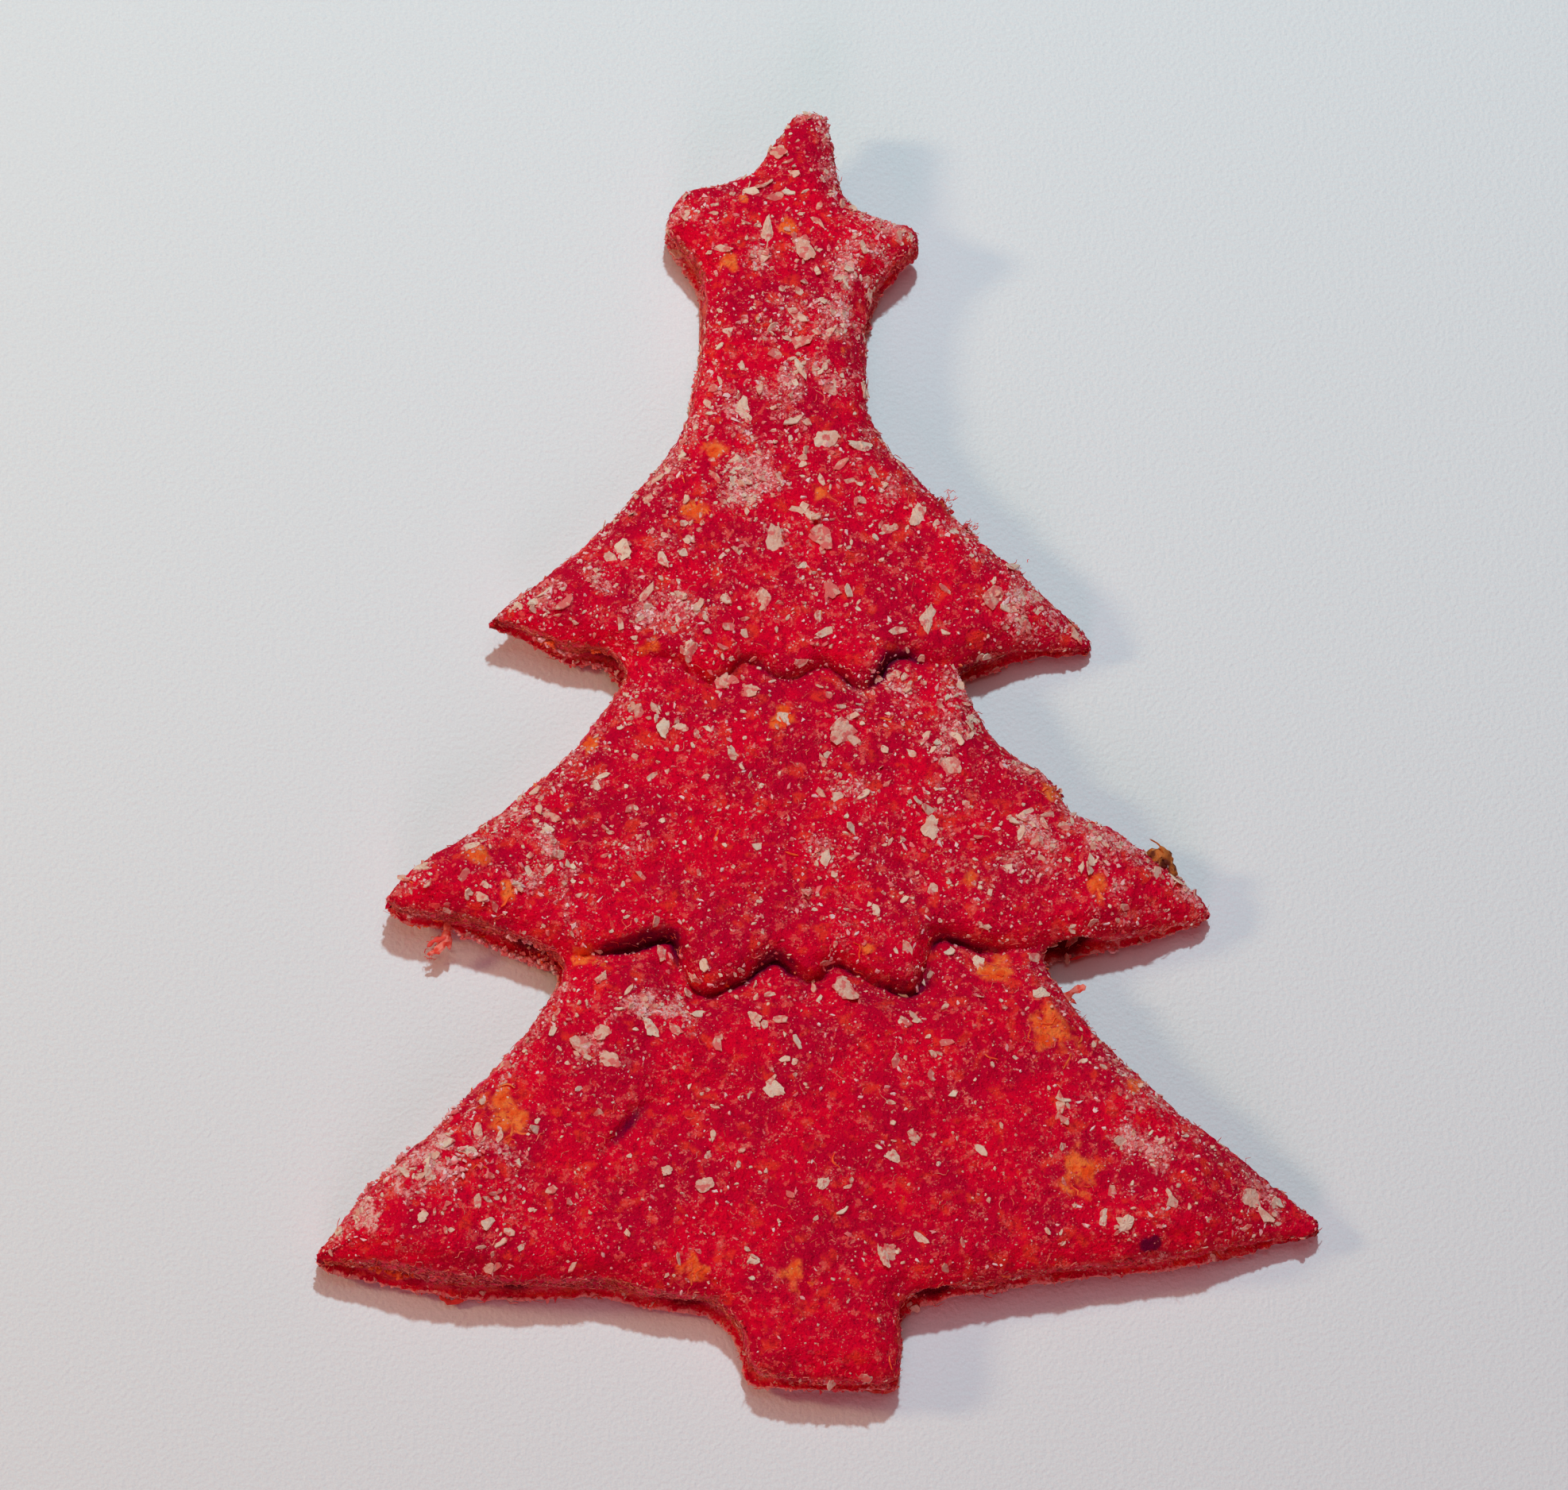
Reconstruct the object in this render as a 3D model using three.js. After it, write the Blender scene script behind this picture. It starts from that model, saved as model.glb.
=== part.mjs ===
// Dog biscuit: a slab of rolled dough, cut out as a fir tree of three tiers with a star on top
// and baked flat on a tray.
//
// Millimetres, Z up. X runs across the tree and Y from the trunk to the star. The biscuit lies on
// its flat underside, and the origin is the middle of its box on that underside.

import * as THREE from 'three';

// ---- driving dimensions -------------------------------------------------------------------

const PLATEAU = 4.45;       // height of the rolled dough just inside its rounded rim
const CROWN = 0.55;         // how much more the middle of a tier has puffed up
const CROWN_REACH = 4.5;    // distance from the edge over which that puffing builds up
const SHOULDER = 1.9;       // radius of the rounded rim between the top and the cut wall
const LIP = 0.45;           // height of the thin skin that spread on the tray
const LIP_TUCK = 0.2;       // how far the lip draws in where it meets the tray
const WAIST = 1.5;          // height at which the torn wall is hollowest
const WAIST_TUCK = 0.4;     // how deep that hollow is
const WAIST_WAVE = 0.22;    // how much the hollow comes and goes along the wall
const WAIST_TURNS = [0.41, 0.13];       // angle from one mesh point to the next of its two waves

const HEM_DEPTH = 1.35;     // depth of the pressed line under a tier's hem
const HEM_WALL = 0.55;      // width of the line's steep side, under the hem
const HEM_SLOPE = 1.5;      // width of its gentle side, on the tier below
const HEM_ROLL = 0.4;       // how far the dough rolls up along the hem
const HEM_ROLL_AT = 2;      // distance of that roll's crest from the pressed line
const HEM_ROLL_WIDTH = 1.3; // and its width
const HEM_FADE = 1.4;       // the line runs out over this distance at the cut wall

const LUMP = 0.13;          // height of the slow lumps in the rolled top
const LUMP_LENGTH = 7.5;    // distance from one lump to the next
const LUMP_TILTS = [[1, 0.4, 0], [-0.5, 0.8, 1.1], [0.62, -0.66, 2.3]];  // each wave's x, y, start

const EDGE_STEP = 0.95;     // spacing of the mesh points along the cut edge
const HEM_STEP = 0.7;       // spacing of the mesh points along a hem
const RIM_RINGS = [0.3, 0.85, 1.7];     // distances from the edge of the rings on the rim
const RING_SQUEEZE = 0.9;   // a ring leaves out points whose edge has come closer than this share
const HEM_ROWS = [0, 0.6, 1.3, -0.8];   // distances of the rows of mesh points from a hem
const LATTICE = 1.35;       // spacing of the mesh points over the top
const UNDER_LATTICE = 2.4;  // spacing of the mesh points where the underside leaves the tray
const UNEVEN = 0.16;        // how far a lattice point is off its place, as a share of the spacing
const CLOSEST = 0.62;       // two mesh points come no closer than this share of their spacing

// The cut outline, anticlockwise, as [x, y, radius of the rounded corner].
const OUTLINE = [
  // trunk
  [-4.8, -44.2, 1.1], [4.9, -44.8, 0.6], [5.2, -39.3, 0.8],
  // lowest tier, right: hem, tip and slope
  [14.2, -37.8, 14], [24.4, -36.7, 5], [29.2, -35.4, 6], [34.2, -34.3, 0.6], [24.2, -27.1, 40],
  [18.3, -21.0, 30], [15.0, -15.5, 0.8],
  // middle tier, right
  [21.2, -14.4, 8], [27.5, -12.6, 0.7], [25.1, -10.1, 2], [20.4, -6.9, 3], [17.6, -5.7, 0.8],
  [16.4, -3.3, 0.8], [12.6, -0.6, 6], [10.4, 4.6, 0.7],
  // upper tier, right
  [15.4, 6.1, 8], [20.7, 6.5, 0.5], [12.1, 13.9, 25], [5.3, 21.8, 5],
  // neck and star, right
  [5.0, 29.3, 12], [5.8, 32.1, 3], [9.8, 35.8, 0.9], [4.2, 38.2, 2.2], [3.3, 41.4, 6],
  [3.0, 44.8, 1.2], [0.7, 44.9, 1.2], [-2.3, 40.3, 2.5], [-7.4, 39.2, 1.8], [-8.5, 36.3, 1.2],
  // star and neck, left
  [-5.9, 32.9, 3], [-5.9, 30.3, 12], [-6.6, 24.7, 12], [-7.8, 21.3, 8],
  // upper tier, left: slope, tip and hem
  [-14.0, 13.7, 40], [-21.7, 8.1, 0.4], [-18.8, 7.6, 3], [-16.2, 6.2, 4], [-12.7, 5.6, 1.2],
  [-11.8, 3.9, 0.9],
  // middle tier, left
  [-15.8, -1.3, 20], [-20.8, -5.7, 30], [-26.5, -9.2, 2], [-28.6, -11.5, 0.6], [-26.6, -12.5, 2],
  [-23.2, -12.9, 6], [-19.2, -14.6, 8], [-16.1, -16.0, 0.9],
  // lowest tier, left
  [-19.5, -21.5, 30], [-25.3, -27.4, 60], [-30.2, -32.0, 30], [-33.8, -36.0, 0.6],
  [-30.2, -36.6, 3], [-25.2, -38.1, 8], [-18.8, -38.3, 10], [-14.2, -38.0, 8], [-11.2, -38.9, 6],
  [-7.4, -39.4, 1.5], [-5.7, -40.8, 1.2],
];

// The scalloped hems of the two upper tiers, pressed into the dough, from left to right.
const HEMS = [
  [[-12.0, 5.2], [-9.1, 5.1], [-5.9, 3.4], [-3.7, 4.8], [-1.1, 3.5], [1.7, 4.6], [4.1, 2.8],
    [6.4, 5.2], [8.4, 4.6], [10.4, 4.4]],
  [[-16.7, -15.9], [-12.4, -15.2], [-9.3, -14.5], [-8.7, -16.5], [-7.3, -18.4], [-4.8, -17.7],
    [-2.6, -16.1], [-0.2, -17.7], [1.5, -16.5], [3.8, -17.7], [6.7, -18.5], [7.7, -16.3],
    [8.5, -14.7], [11.8, -15.5], [15.2, -15.5]],
];
const HEM_STRENGTH = [0.7, 1.0];        // the upper hem is pressed in less

// The thin ends: [x, y, reach, share of the thickness that is lost there, lift off the tray].
const TIPS = [
  [1.9, 46.8, 16, 0.5, 3.0], [10.2, 35.8, 7, 0.3, 1.6], [-8.8, 38.1, 7, 0.3, 1.4],
  [21.0, 6.3, 9, 0.55, 0], [-22.2, 8.5, 8, 0.62, 2.1],
  [27.8, -12.7, 9, 0.5, 0], [-28.8, -11.5, 8, 0.42, 0.8],
  [34.4, -34.2, 11, 0.62, 0], [-34.0, -35.9, 10, 0.55, 0],
];

// Dents in the top: [x, y, radius, depth].
const DENTS = [[-10.3, -26.2, 2.6, 0.45], [-7.3, -25.1, 2.2, 0.3], [-2.8, 32.8, 2.4, 0.3]];

// ---- the cut edge -------------------------------------------------------------------------

// A closed path through the corners, each rounded by an arc that touches both of its sides.
function roundedPath(corners) {
  const path = new THREE.Path();
  corners.forEach(([x, y, radius], i) => {
    const corner = new THREE.Vector2(x, y);
    const [beforeX, beforeY] = corners[(i + corners.length - 1) % corners.length];
    const [afterX, afterY] = corners[(i + 1) % corners.length];
    const back = new THREE.Vector2(beforeX, beforeY).sub(corner).normalize();
    const ahead = new THREE.Vector2(afterX, afterY).sub(corner).normalize();
    const half = Math.acos(THREE.MathUtils.clamp(back.dot(ahead), -1, 1)) / 2;
    const centre = back.clone().add(ahead).normalize().multiplyScalar(radius / Math.sin(half));
    centre.add(corner);
    const left = back.cross(ahead) < 0;
    const start = back.clone().multiplyScalar(radius / Math.tan(half)).add(corner).sub(centre);
    const end = ahead.clone().multiplyScalar(radius / Math.tan(half)).add(corner).sub(centre);
    path.absarc(centre.x, centre.y, radius, start.angle(), end.angle(), !left);
  });
  path.closePath();
  return path;
}

const edge = roundedPath(OUTLINE);
const edgeCount = Math.round(edge.getLength() / EDGE_STEP);
const edgeLoop = edge.getSpacedPoints(edgeCount).slice(0, edgeCount);

// The unit vector that points into the dough from the loop's point i.
function inward(loop, i) {
  const before = loop[(i + loop.length - 1) % loop.length];
  const after = loop[(i + 1) % loop.length];
  const along = after.clone().sub(before).normalize();
  return new THREE.Vector2(-along.y, along.x);
}

// ---- the height of the top ----------------------------------------------------------------

// The nearest place on a polyline: its distance, and the side it is seen from (left is positive).
function nearest(point, line, closed) {
  let best = { distance: Infinity, side: 1 };
  const last = closed ? line.length : line.length - 1;
  for (let i = 0; i < last; i += 1) {
    const a = line[i];
    const b = line[(i + 1) % line.length];
    const abX = b.x - a.x;
    const abY = b.y - a.y;
    const apX = point.x - a.x;
    const apY = point.y - a.y;
    const t = THREE.MathUtils.clamp((apX * abX + apY * abY) / (abX * abX + abY * abY), 0, 1);
    const distance = Math.hypot(apX - t * abX, apY - t * abY);
    if (distance < best.distance) best = { distance, side: Math.sign(abX * apY - abY * apX) || 1 };
  }
  return best;
}

// Whether a point is inside a closed loop: a line from it to the right then crosses the loop an
// odd number of times.
function isInside({ x, y }, loop) {
  return loop.reduce((inside, a, i) => {
    const b = loop[(i + 1) % loop.length];
    const crosses = (a.y > y) !== (b.y > y) && x < a.x + (y - a.y) * (b.x - a.x) / (b.y - a.y);
    return crosses ? !inside : inside;
  }, false);
}

// Distance from the cut edge, positive inside the dough.
function depthInside(point) {
  const { distance } = nearest(point, edgeLoop, true);
  return isInside(point, edgeLoop) ? distance : -distance;
}

const HEM_SAMPLES = 90;
const hems = HEMS.map((points) => {
  const curve = new THREE.SplineCurve(points.map(([x, y]) => new THREE.Vector2(x, y)));
  return curve.getSpacedPoints(HEM_SAMPLES);
});

// A hem is a steep little wall on the upper tier's side, a gentle slope on the lower tier's, and
// a soft roll of dough along the wall's top. All of it fades out towards the cut edge.
function hemRelief(point, inside) {
  let relief = 0;
  hems.forEach((hem, i) => {
    const { distance, side } = nearest(point, hem, false);
    const width = side > 0 ? HEM_WALL : HEM_SLOPE;
    const press = -HEM_DEPTH * Math.exp(-((distance / width) ** 2));
    const fromCrest = (distance - HEM_ROLL_AT) / HEM_ROLL_WIDTH;
    const roll = side > 0 ? HEM_ROLL * Math.exp(-(fromCrest ** 2)) : 0;
    relief += (press + roll) * HEM_STRENGTH[i];
  });
  return relief * (1 - Math.exp(-inside / HEM_FADE));
}

// Slow lumps: three waves that cross each other at odd angles.
function lumps({ x, y }) {
  const turn = (2 * Math.PI) / LUMP_LENGTH;
  let sum = 0;
  LUMP_TILTS.forEach(([tiltX, tiltY, start]) => {
    sum += Math.sin(turn * (tiltX * x + tiltY * y) + start);
  });
  return (LUMP / LUMP_TILTS.length) * sum;
}

function dents(point) {
  let sum = 0;
  DENTS.forEach(([x, y, radius, depth]) => {
    sum -= depth * Math.exp(-(((point.x - x) ** 2 + (point.y - y) ** 2) / radius ** 2));
  });
  return sum;
}

// How thick the dough is and how far it has curled up, near the thin ends. A tip's pull is all of
// it at the tip itself, falls off smoothly, and is nothing at its reach.
function bend(point) {
  let thickness = 1;
  let lift = 0;
  TIPS.forEach(([x, y, reach, thin, rise]) => {
    const share = Math.max(0, 1 - ((point.x - x) ** 2 + (point.y - y) ** 2) / reach ** 2) ** 2;
    thickness *= 1 - thin * share;
    lift += rise * share;
  });
  return { thickness, lift };
}

// The place over a point of the plan, once the ends are thinned and curled.
function bent(point, height) {
  const { thickness, lift } = bend(point);
  return [point.x, point.y, lift + height * thickness];
}

// The top: plateau and crown, less the quarter circle of the rim, with the relief on it.
function topHeight(point, inside) {
  const reach = Math.min(inside, SHOULDER);
  const rim = SHOULDER - Math.sqrt(SHOULDER ** 2 - (SHOULDER - reach) ** 2);
  const crown = CROWN * (1 - Math.exp(-inside / CROWN_REACH));
  const fade = reach / SHOULDER;
  const relief = hemRelief(point, inside) + (lumps(point) + dents(point)) * fade;
  return PLATEAU + crown - rim + relief;
}

// ---- mesh points over the top -------------------------------------------------------------

// A repeatable number from 0 to 1 for each whole number n.
const scatter = (n) => {
  const value = Math.sin(n * 12.9898) * 43758.5453;
  return value - Math.floor(value);
};

const topPoints = edgeLoop.map((point) => point.clone());

// Adds a point, unless one of the others is too near.
function addPoint(points, point, spacing) {
  const limit = (spacing * CLOSEST) ** 2;
  if (points.every((other) => other.distanceToSquared(point) > limit)) points.push(point);
}

const ROW_SEED = 131;       // more than twice the columns of a row, so that no number comes twice

// The points of a six-sided lattice over the biscuit's box, each a little off its place.
function lattice(spacing) {
  const box = new THREE.Box2().setFromPoints(edgeLoop);
  const rowStep = spacing * Math.sqrt(3) / 2;
  const places = [];
  for (let row = 0; box.min.y + row * rowStep < box.max.y; row += 1) {
    for (let column = 0; box.min.x + column * spacing < box.max.x; column += 1) {
      const seed = row * ROW_SEED + column * 2;
      const x = box.min.x + (column + (row % 2) / 2 + UNEVEN * scatter(seed)) * spacing;
      const y = box.min.y + (row + UNEVEN * scatter(seed + 1)) * rowStep;
      places.push(new THREE.Vector2(x, y));
    }
  }
  return places;
}

// Rings that follow the rounded rim.
RIM_RINGS.forEach((inset, ring) => {
  edgeLoop.forEach((point, i) => {
    const moved = point.clone().addScaledVector(inward(edgeLoop, i), inset);
    const spacing = ring === 0 ? inset : EDGE_STEP;
    if (depthInside(moved) > inset * RING_SQUEEZE) addPoint(topPoints, moved, spacing);
  });
});

// Rows along each hem: on the pressed line and on both of its sides.
hems.forEach((hem) => {
  HEM_ROWS.forEach((offset) => {
    hem.forEach((point, i) => {
      const before = hem[Math.max(i - 1, 0)];
      const after = hem[Math.min(i + 1, hem.length - 1)];
      const along = after.clone().sub(before).normalize();
      const moved = new THREE.Vector2(point.x - along.y * offset, point.y + along.x * offset);
      if (depthInside(moved) > RIM_RINGS[1]) addPoint(topPoints, moved, HEM_STEP);
    });
  });
});

// The lattice over the rest.
lattice(LATTICE).forEach((point) => {
  if (depthInside(point) > RIM_RINGS[2]) addPoint(topPoints, point, LATTICE);
});

// ---- triangles ----------------------------------------------------------------------------

// Bowyer and Watson's way to join points into well-shaped triangles: each new point removes the
// triangles whose circle holds it, and is joined to the rim of the gap that they leave.
function triangulate(points) {
  const far = 1000;         // well outside the biscuit
  const all = [...points, new THREE.Vector2(-far, -far), new THREE.Vector2(far, -far),
    new THREE.Vector2(0, far)];
  const makeTriangle = (a, b, c) => {
    const [p, q, r] = [all[a], all[b], all[c]];
    const d = 2 * (p.x * (q.y - r.y) + q.x * (r.y - p.y) + r.x * (p.y - q.y));
    const x = (p.lengthSq() * (q.y - r.y) + q.lengthSq() * (r.y - p.y)
      + r.lengthSq() * (p.y - q.y)) / d;
    const y = (p.lengthSq() * (r.x - q.x) + q.lengthSq() * (p.x - r.x)
      + r.lengthSq() * (q.x - p.x)) / d;
    return { corners: [a, b, c], x, y, radiusSq: (p.x - x) ** 2 + (p.y - y) ** 2 };
  };
  let triangles = [makeTriangle(points.length, points.length + 1, points.length + 2)];
  points.forEach((point, n) => {
    const rim = new Map();
    const holds = ({ x, y, radiusSq }) => (point.x - x) ** 2 + (point.y - y) ** 2 < radiusSq;
    const broken = triangles.filter(holds);
    broken.forEach(({ corners }) => {
      corners.forEach((a, i) => {
        const b = corners[(i + 1) % 3];
        if (rim.has(`${b} ${a}`)) rim.delete(`${b} ${a}`);
        else rim.set(`${a} ${b}`, [a, b]);
      });
    });
    triangles = triangles.filter((triangle) => !holds(triangle));
    rim.forEach(([a, b]) => triangles.push(makeTriangle(a, b, n)));
  });
  return triangles.map(({ corners }) => corners);
}

// Of all the triangles, the ones whose middle lies inside the loop that the points start with.
function trianglesInside(points) {
  const loop = points.slice(0, edgeLoop.length);
  return triangulate(points).filter((corners) => {
    if (corners.some((corner) => corner >= points.length)) return false;
    const middle = new THREE.Vector2();
    corners.forEach((corner) => middle.add(points[corner]));
    return isInside(middle.divideScalar(3), loop);
  });
}

// ---- the solid ----------------------------------------------------------------------------

const positions = [];
const indices = [];
topPoints.forEach((point, i) => {
  const inside = i < edgeLoop.length ? 0 : Math.max(depthInside(point), 0);
  positions.push(...bent(point, topHeight(point, inside)));
});
trianglesInside(topPoints).forEach((corners) => indices.push(...corners));

// The torn wall below the rim: hollow at the waist, out again at the lip, in a little at the tray.
const wallRows = [
  (i) => [WAIST, WAIST_TUCK + WAIST_WAVE * Math.sin(i * WAIST_TURNS[0]) * Math.cos(i * WAIST_TURNS[1])],
  () => [LIP, 0],
  () => [0, LIP_TUCK],
];
let rowAbove = 0;
let rowPoints = edgeLoop;
wallRows.forEach((row) => {
  const rowStart = positions.length / 3;
  rowPoints = edgeLoop.map((point, i) => {
    const [height, tuck] = row(i);
    const moved = point.clone().addScaledVector(inward(edgeLoop, i), tuck);
    positions.push(...bent(moved, height));
    return moved;
  });
  edgeLoop.forEach((_, i) => {
    const next = (i + 1) % edgeLoop.length;
    indices.push(rowStart + i, rowStart + next, rowAbove + next);
    indices.push(rowStart + i, rowAbove + next, rowAbove + i);
  });
  rowAbove = rowStart;
});

// The underside closes the last row. It is flat, except where it curls up off the tray.
const underPoints = [...rowPoints];
lattice(UNDER_LATTICE).forEach((point) => {
  const curled = bend(point).lift > 0;
  if (curled && depthInside(point) > EDGE_STEP) addPoint(underPoints, point, UNDER_LATTICE);
});
underPoints.slice(edgeLoop.length).forEach((point) => positions.push(...bent(point, 0)));
trianglesInside(underPoints).forEach(([a, b, c]) => {
  indices.push(rowAbove + a, rowAbove + c, rowAbove + b);
});

const geometry = new THREE.BufferGeometry();
geometry.setAttribute('position', new THREE.Float32BufferAttribute(positions, 3));
geometry.setIndex(indices);
geometry.computeBoundingBox();
const middle = geometry.boundingBox.getCenter(new THREE.Vector3());
geometry.translate(-middle.x, -middle.y, 0);
geometry.computeVertexNormals();

const dough = new THREE.MeshStandardMaterial({ color: 0xb81822, roughness: 0.78, metalness: 0 });
const biscuit = new THREE.Mesh(geometry, dough);
biscuit.name = 'biscuit';

const dogBiscuit = new THREE.Group();
dogBiscuit.add(biscuit);

export default dogBiscuit;
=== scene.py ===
# %% [markdown]
# # A dog biscuit, cut as a fir tree
#
# A slab of beet-red dough, rolled out with bran and grated carrot, dusted with flour, cut with a
# tree cutter and baked. This lesson dresses the plain solid of the biscuit: it makes the dough's
# rough skin, its torn cut edge, and everything that is stuck to it, then a floor, lights and a
# camera. Sizes are in millimetres until a mesh is written, where they become metres.

# %% Load the frame
import itertools
import math

import bpy
import numpy as np
from mathutils import Matrix, Vector


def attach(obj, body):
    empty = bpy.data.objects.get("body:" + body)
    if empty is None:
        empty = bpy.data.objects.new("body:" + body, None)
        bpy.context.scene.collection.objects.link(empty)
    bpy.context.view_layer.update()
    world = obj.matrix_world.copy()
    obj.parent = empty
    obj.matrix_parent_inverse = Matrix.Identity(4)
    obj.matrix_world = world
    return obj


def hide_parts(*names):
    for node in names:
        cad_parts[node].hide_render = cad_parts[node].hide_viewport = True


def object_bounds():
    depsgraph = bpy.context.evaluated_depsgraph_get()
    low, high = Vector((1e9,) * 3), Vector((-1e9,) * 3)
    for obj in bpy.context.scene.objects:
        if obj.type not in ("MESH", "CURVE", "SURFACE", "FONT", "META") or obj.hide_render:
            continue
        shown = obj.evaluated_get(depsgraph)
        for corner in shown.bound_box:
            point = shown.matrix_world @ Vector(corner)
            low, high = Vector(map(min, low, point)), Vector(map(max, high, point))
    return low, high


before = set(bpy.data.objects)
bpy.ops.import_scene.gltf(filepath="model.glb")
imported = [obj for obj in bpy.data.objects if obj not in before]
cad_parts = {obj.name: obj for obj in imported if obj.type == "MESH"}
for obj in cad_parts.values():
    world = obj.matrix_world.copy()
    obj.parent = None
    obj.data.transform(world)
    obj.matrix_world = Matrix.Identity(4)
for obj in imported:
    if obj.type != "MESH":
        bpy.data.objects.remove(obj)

MM = 0.001
BODY = "root"
NODE = "biscuit"
cad_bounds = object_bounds()
low, high = (np.array(corner) / MM for corner in cad_bounds)
print("solid's box in mm:", low.round(2), high.round(2))

# %% [markdown]
# ## The camera
#
# The biscuit lies flat, and the camera looks down on it from the trunk's side, about twenty degrees
# off straight down and a little from the left. A long lens from more than half a metre keeps the
# tiers' edges nearly parallel. The camera is made first, because all the rest is seen through it.

# %% Camera
CAMERA_AZIMUTH = math.radians(-10)
CAMERA_ELEVATION = math.radians(70)
CAMERA_LEAN = math.radians(1.85)
CAMERA_DISTANCE = 585.6
CAMERA_LENS, CAMERA_SENSOR = 200, 36  # mm
CAMERA_TARGET = Vector((-1.15, 0.3, 0.0))


def make_camera():
    """A camera at a distance from its target, looking along the line between them, then rolled."""
    flat = math.cos(CAMERA_ELEVATION)
    back = Vector((math.sin(CAMERA_AZIMUTH) * flat, -math.cos(CAMERA_AZIMUTH) * flat,
                   math.sin(CAMERA_ELEVATION)))
    north = Vector((0, 1, 0))
    along = (north - back * north.dot(back)).normalized()
    across = along.cross(back)
    up = math.cos(CAMERA_LEAN) * along + math.sin(CAMERA_LEAN) * across
    data = bpy.data.cameras.new("camera")
    data.sensor_width = CAMERA_SENSOR
    data.lens = CAMERA_LENS
    data.clip_start = 0.01
    data.clip_end = 10
    camera = bpy.data.objects.new("camera", data)
    right = up.cross(back)
    place = (CAMERA_TARGET + back * CAMERA_DISTANCE) * MM
    turned = Matrix((right, up, back)).transposed().to_4x4()
    camera.matrix_world = Matrix.Translation(place) @ turned
    bpy.context.collection.objects.link(camera)
    return camera


camera = make_camera()
bpy.context.scene.camera = camera
print("camera at", [round(x, 3) for x in camera.matrix_world.translation])

# %% [markdown]
# ## Noise
#
# Dough is uneven at every size, from slow lumps to single fibres. One way is Blender's own texture
# nodes with a Displace modifier, but numpy lets one formula move points, choose colours and place
# crumbs alike. Value noise is the simplest kind: a random number at each corner of a lattice of
# cubes, blended smoothly in between.

# %% Value noise
def corner_values(corner, seed):
    """A repeatable number from -1 to 1 for each whole-number corner: its digits are well stirred."""
    mixed = corner[:, 0] * 374761393 + corner[:, 1] * 668265263 + corner[:, 2] * 974711 + seed * 69621
    mixed = ((mixed & 0x7FFFFFFF) ^ ((mixed & 0x7FFFFFFF) >> 13)) * 1274126177 & 0x7FFFFFFF
    return ((mixed ^ (mixed >> 16)) & 0xFFFF) / 32767.5 - 1


def noise(points, length, seed=0):
    """Value noise of a given wavelength: each point's eight lattice corners, each weighted by how
    near the point is to it along x, y and z, with the weights eased in and out."""
    scaled = points / length
    cell = np.floor(scaled).astype(np.int64)
    part = scaled - cell
    part = part * part * (3 - 2 * part)
    total = np.zeros(len(points))
    for corner in itertools.product((0, 1), repeat=3):
        weight = np.where(np.array(corner), part, 1 - part).prod(axis=1)
        total += weight * corner_values(cell + np.array(corner), seed)
    return total


sample = noise(np.random.default_rng(1).random((2000, 3)) * 50, 3.0)
print("noise lies between", sample.min().round(2), "and", sample.max().round(2))

# %% Roughness and ridges
# a turn in space, so that no two lattices run the same way
TURNED = np.array([[0.36, 0.48, -0.80], [-0.80, 0.60, 0.0], [0.48, 0.64, 0.60]])


def rough(points, length, seed=0, octaves=3, fade=0.5):
    """A sum of noises, each half as long and weaker by the fade, and each on a turned lattice so
    that no rows of cubes show."""
    total, strength = 0, 1
    for octave in range(octaves):
        points = points @ TURNED
        total = total + strength * noise(points, length / 2 ** octave, seed + octave)
        strength *= fade
    return total


def ridges(points, length, seed=0):
    """Fine creases: one minus the absolute value of noise is a ridge wherever the noise is zero."""
    return 1 - 2.4 * np.abs(noise(points @ TURNED, length, seed))


print("the turn keeps lengths:", bool(np.allclose(TURNED @ TURNED.T, np.eye(3))))

# %% Steps and hills
def ease(value, start, end):
    """0 before start, 1 after end, and a smooth step between them."""
    share = np.clip((value - start) / (end - start), 0, 1)
    return share * share * (3 - 2 * share)


def bump(distance, width):
    """The bell curve: 1 at no distance, fading to nothing past about twice the width."""
    return np.exp(-(distance / width) ** 2)


def hill(points, x, y, reach):
    """The bell curve of the distance in the plane from a place."""
    return bump(np.hypot(points[:, 0] - x, points[:, 1] - y), reach)


def unit(vectors):
    """Each row's direction, at length one."""
    return vectors / np.maximum(np.linalg.norm(vectors, axis=1), 1e-9)[:, None]


print("a hill at its reach is", round(float(bump(1.0, 1.0)), 2), "high")

# %% [markdown]
# ## The cut outline
#
# Much depends on how far a point is from the cut edge. The solid's underside has that outline as
# its rim: the edges of its triangles that no second triangle shares. The distance to the nearest of
# those edges, counted positive inside, works for every part of the biscuit.

# %% The solid's mesh
def read_mesh(mesh):
    """The mesh's points in mm, and its triangles as rows of three point numbers."""
    found = np.empty(len(mesh.vertices) * 3)
    mesh.vertices.foreach_get("co", found)
    mesh.calc_loop_triangles()
    triangles = np.empty(len(mesh.loop_triangles) * 3, np.int32)
    mesh.loop_triangles.foreach_get("vertices", triangles)
    return found.reshape(-1, 3) / MM, triangles.reshape(-1, 3)


def welded(mesh):
    """The same for loose triangles, whose corners are merged where they meet. A triangle that
    loses its width by that is left out."""
    corners, triangles = read_mesh(mesh)
    merged, where = np.unique(corners.round(3), axis=0, return_inverse=True)
    triangles = where.reshape(-1)[triangles]
    return merged, triangles[(triangles != np.roll(triangles, 1, axis=1)).all(axis=1)]


solid_corners, solid_triangles = welded(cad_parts[NODE].data)
print("solid:", len(solid_corners), "corners,", len(solid_triangles), "triangles")

# %% Rim of the underside
FACING_DOWN = -0.8  # the underside's normals point down at least this much, also where tips lift


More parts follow.
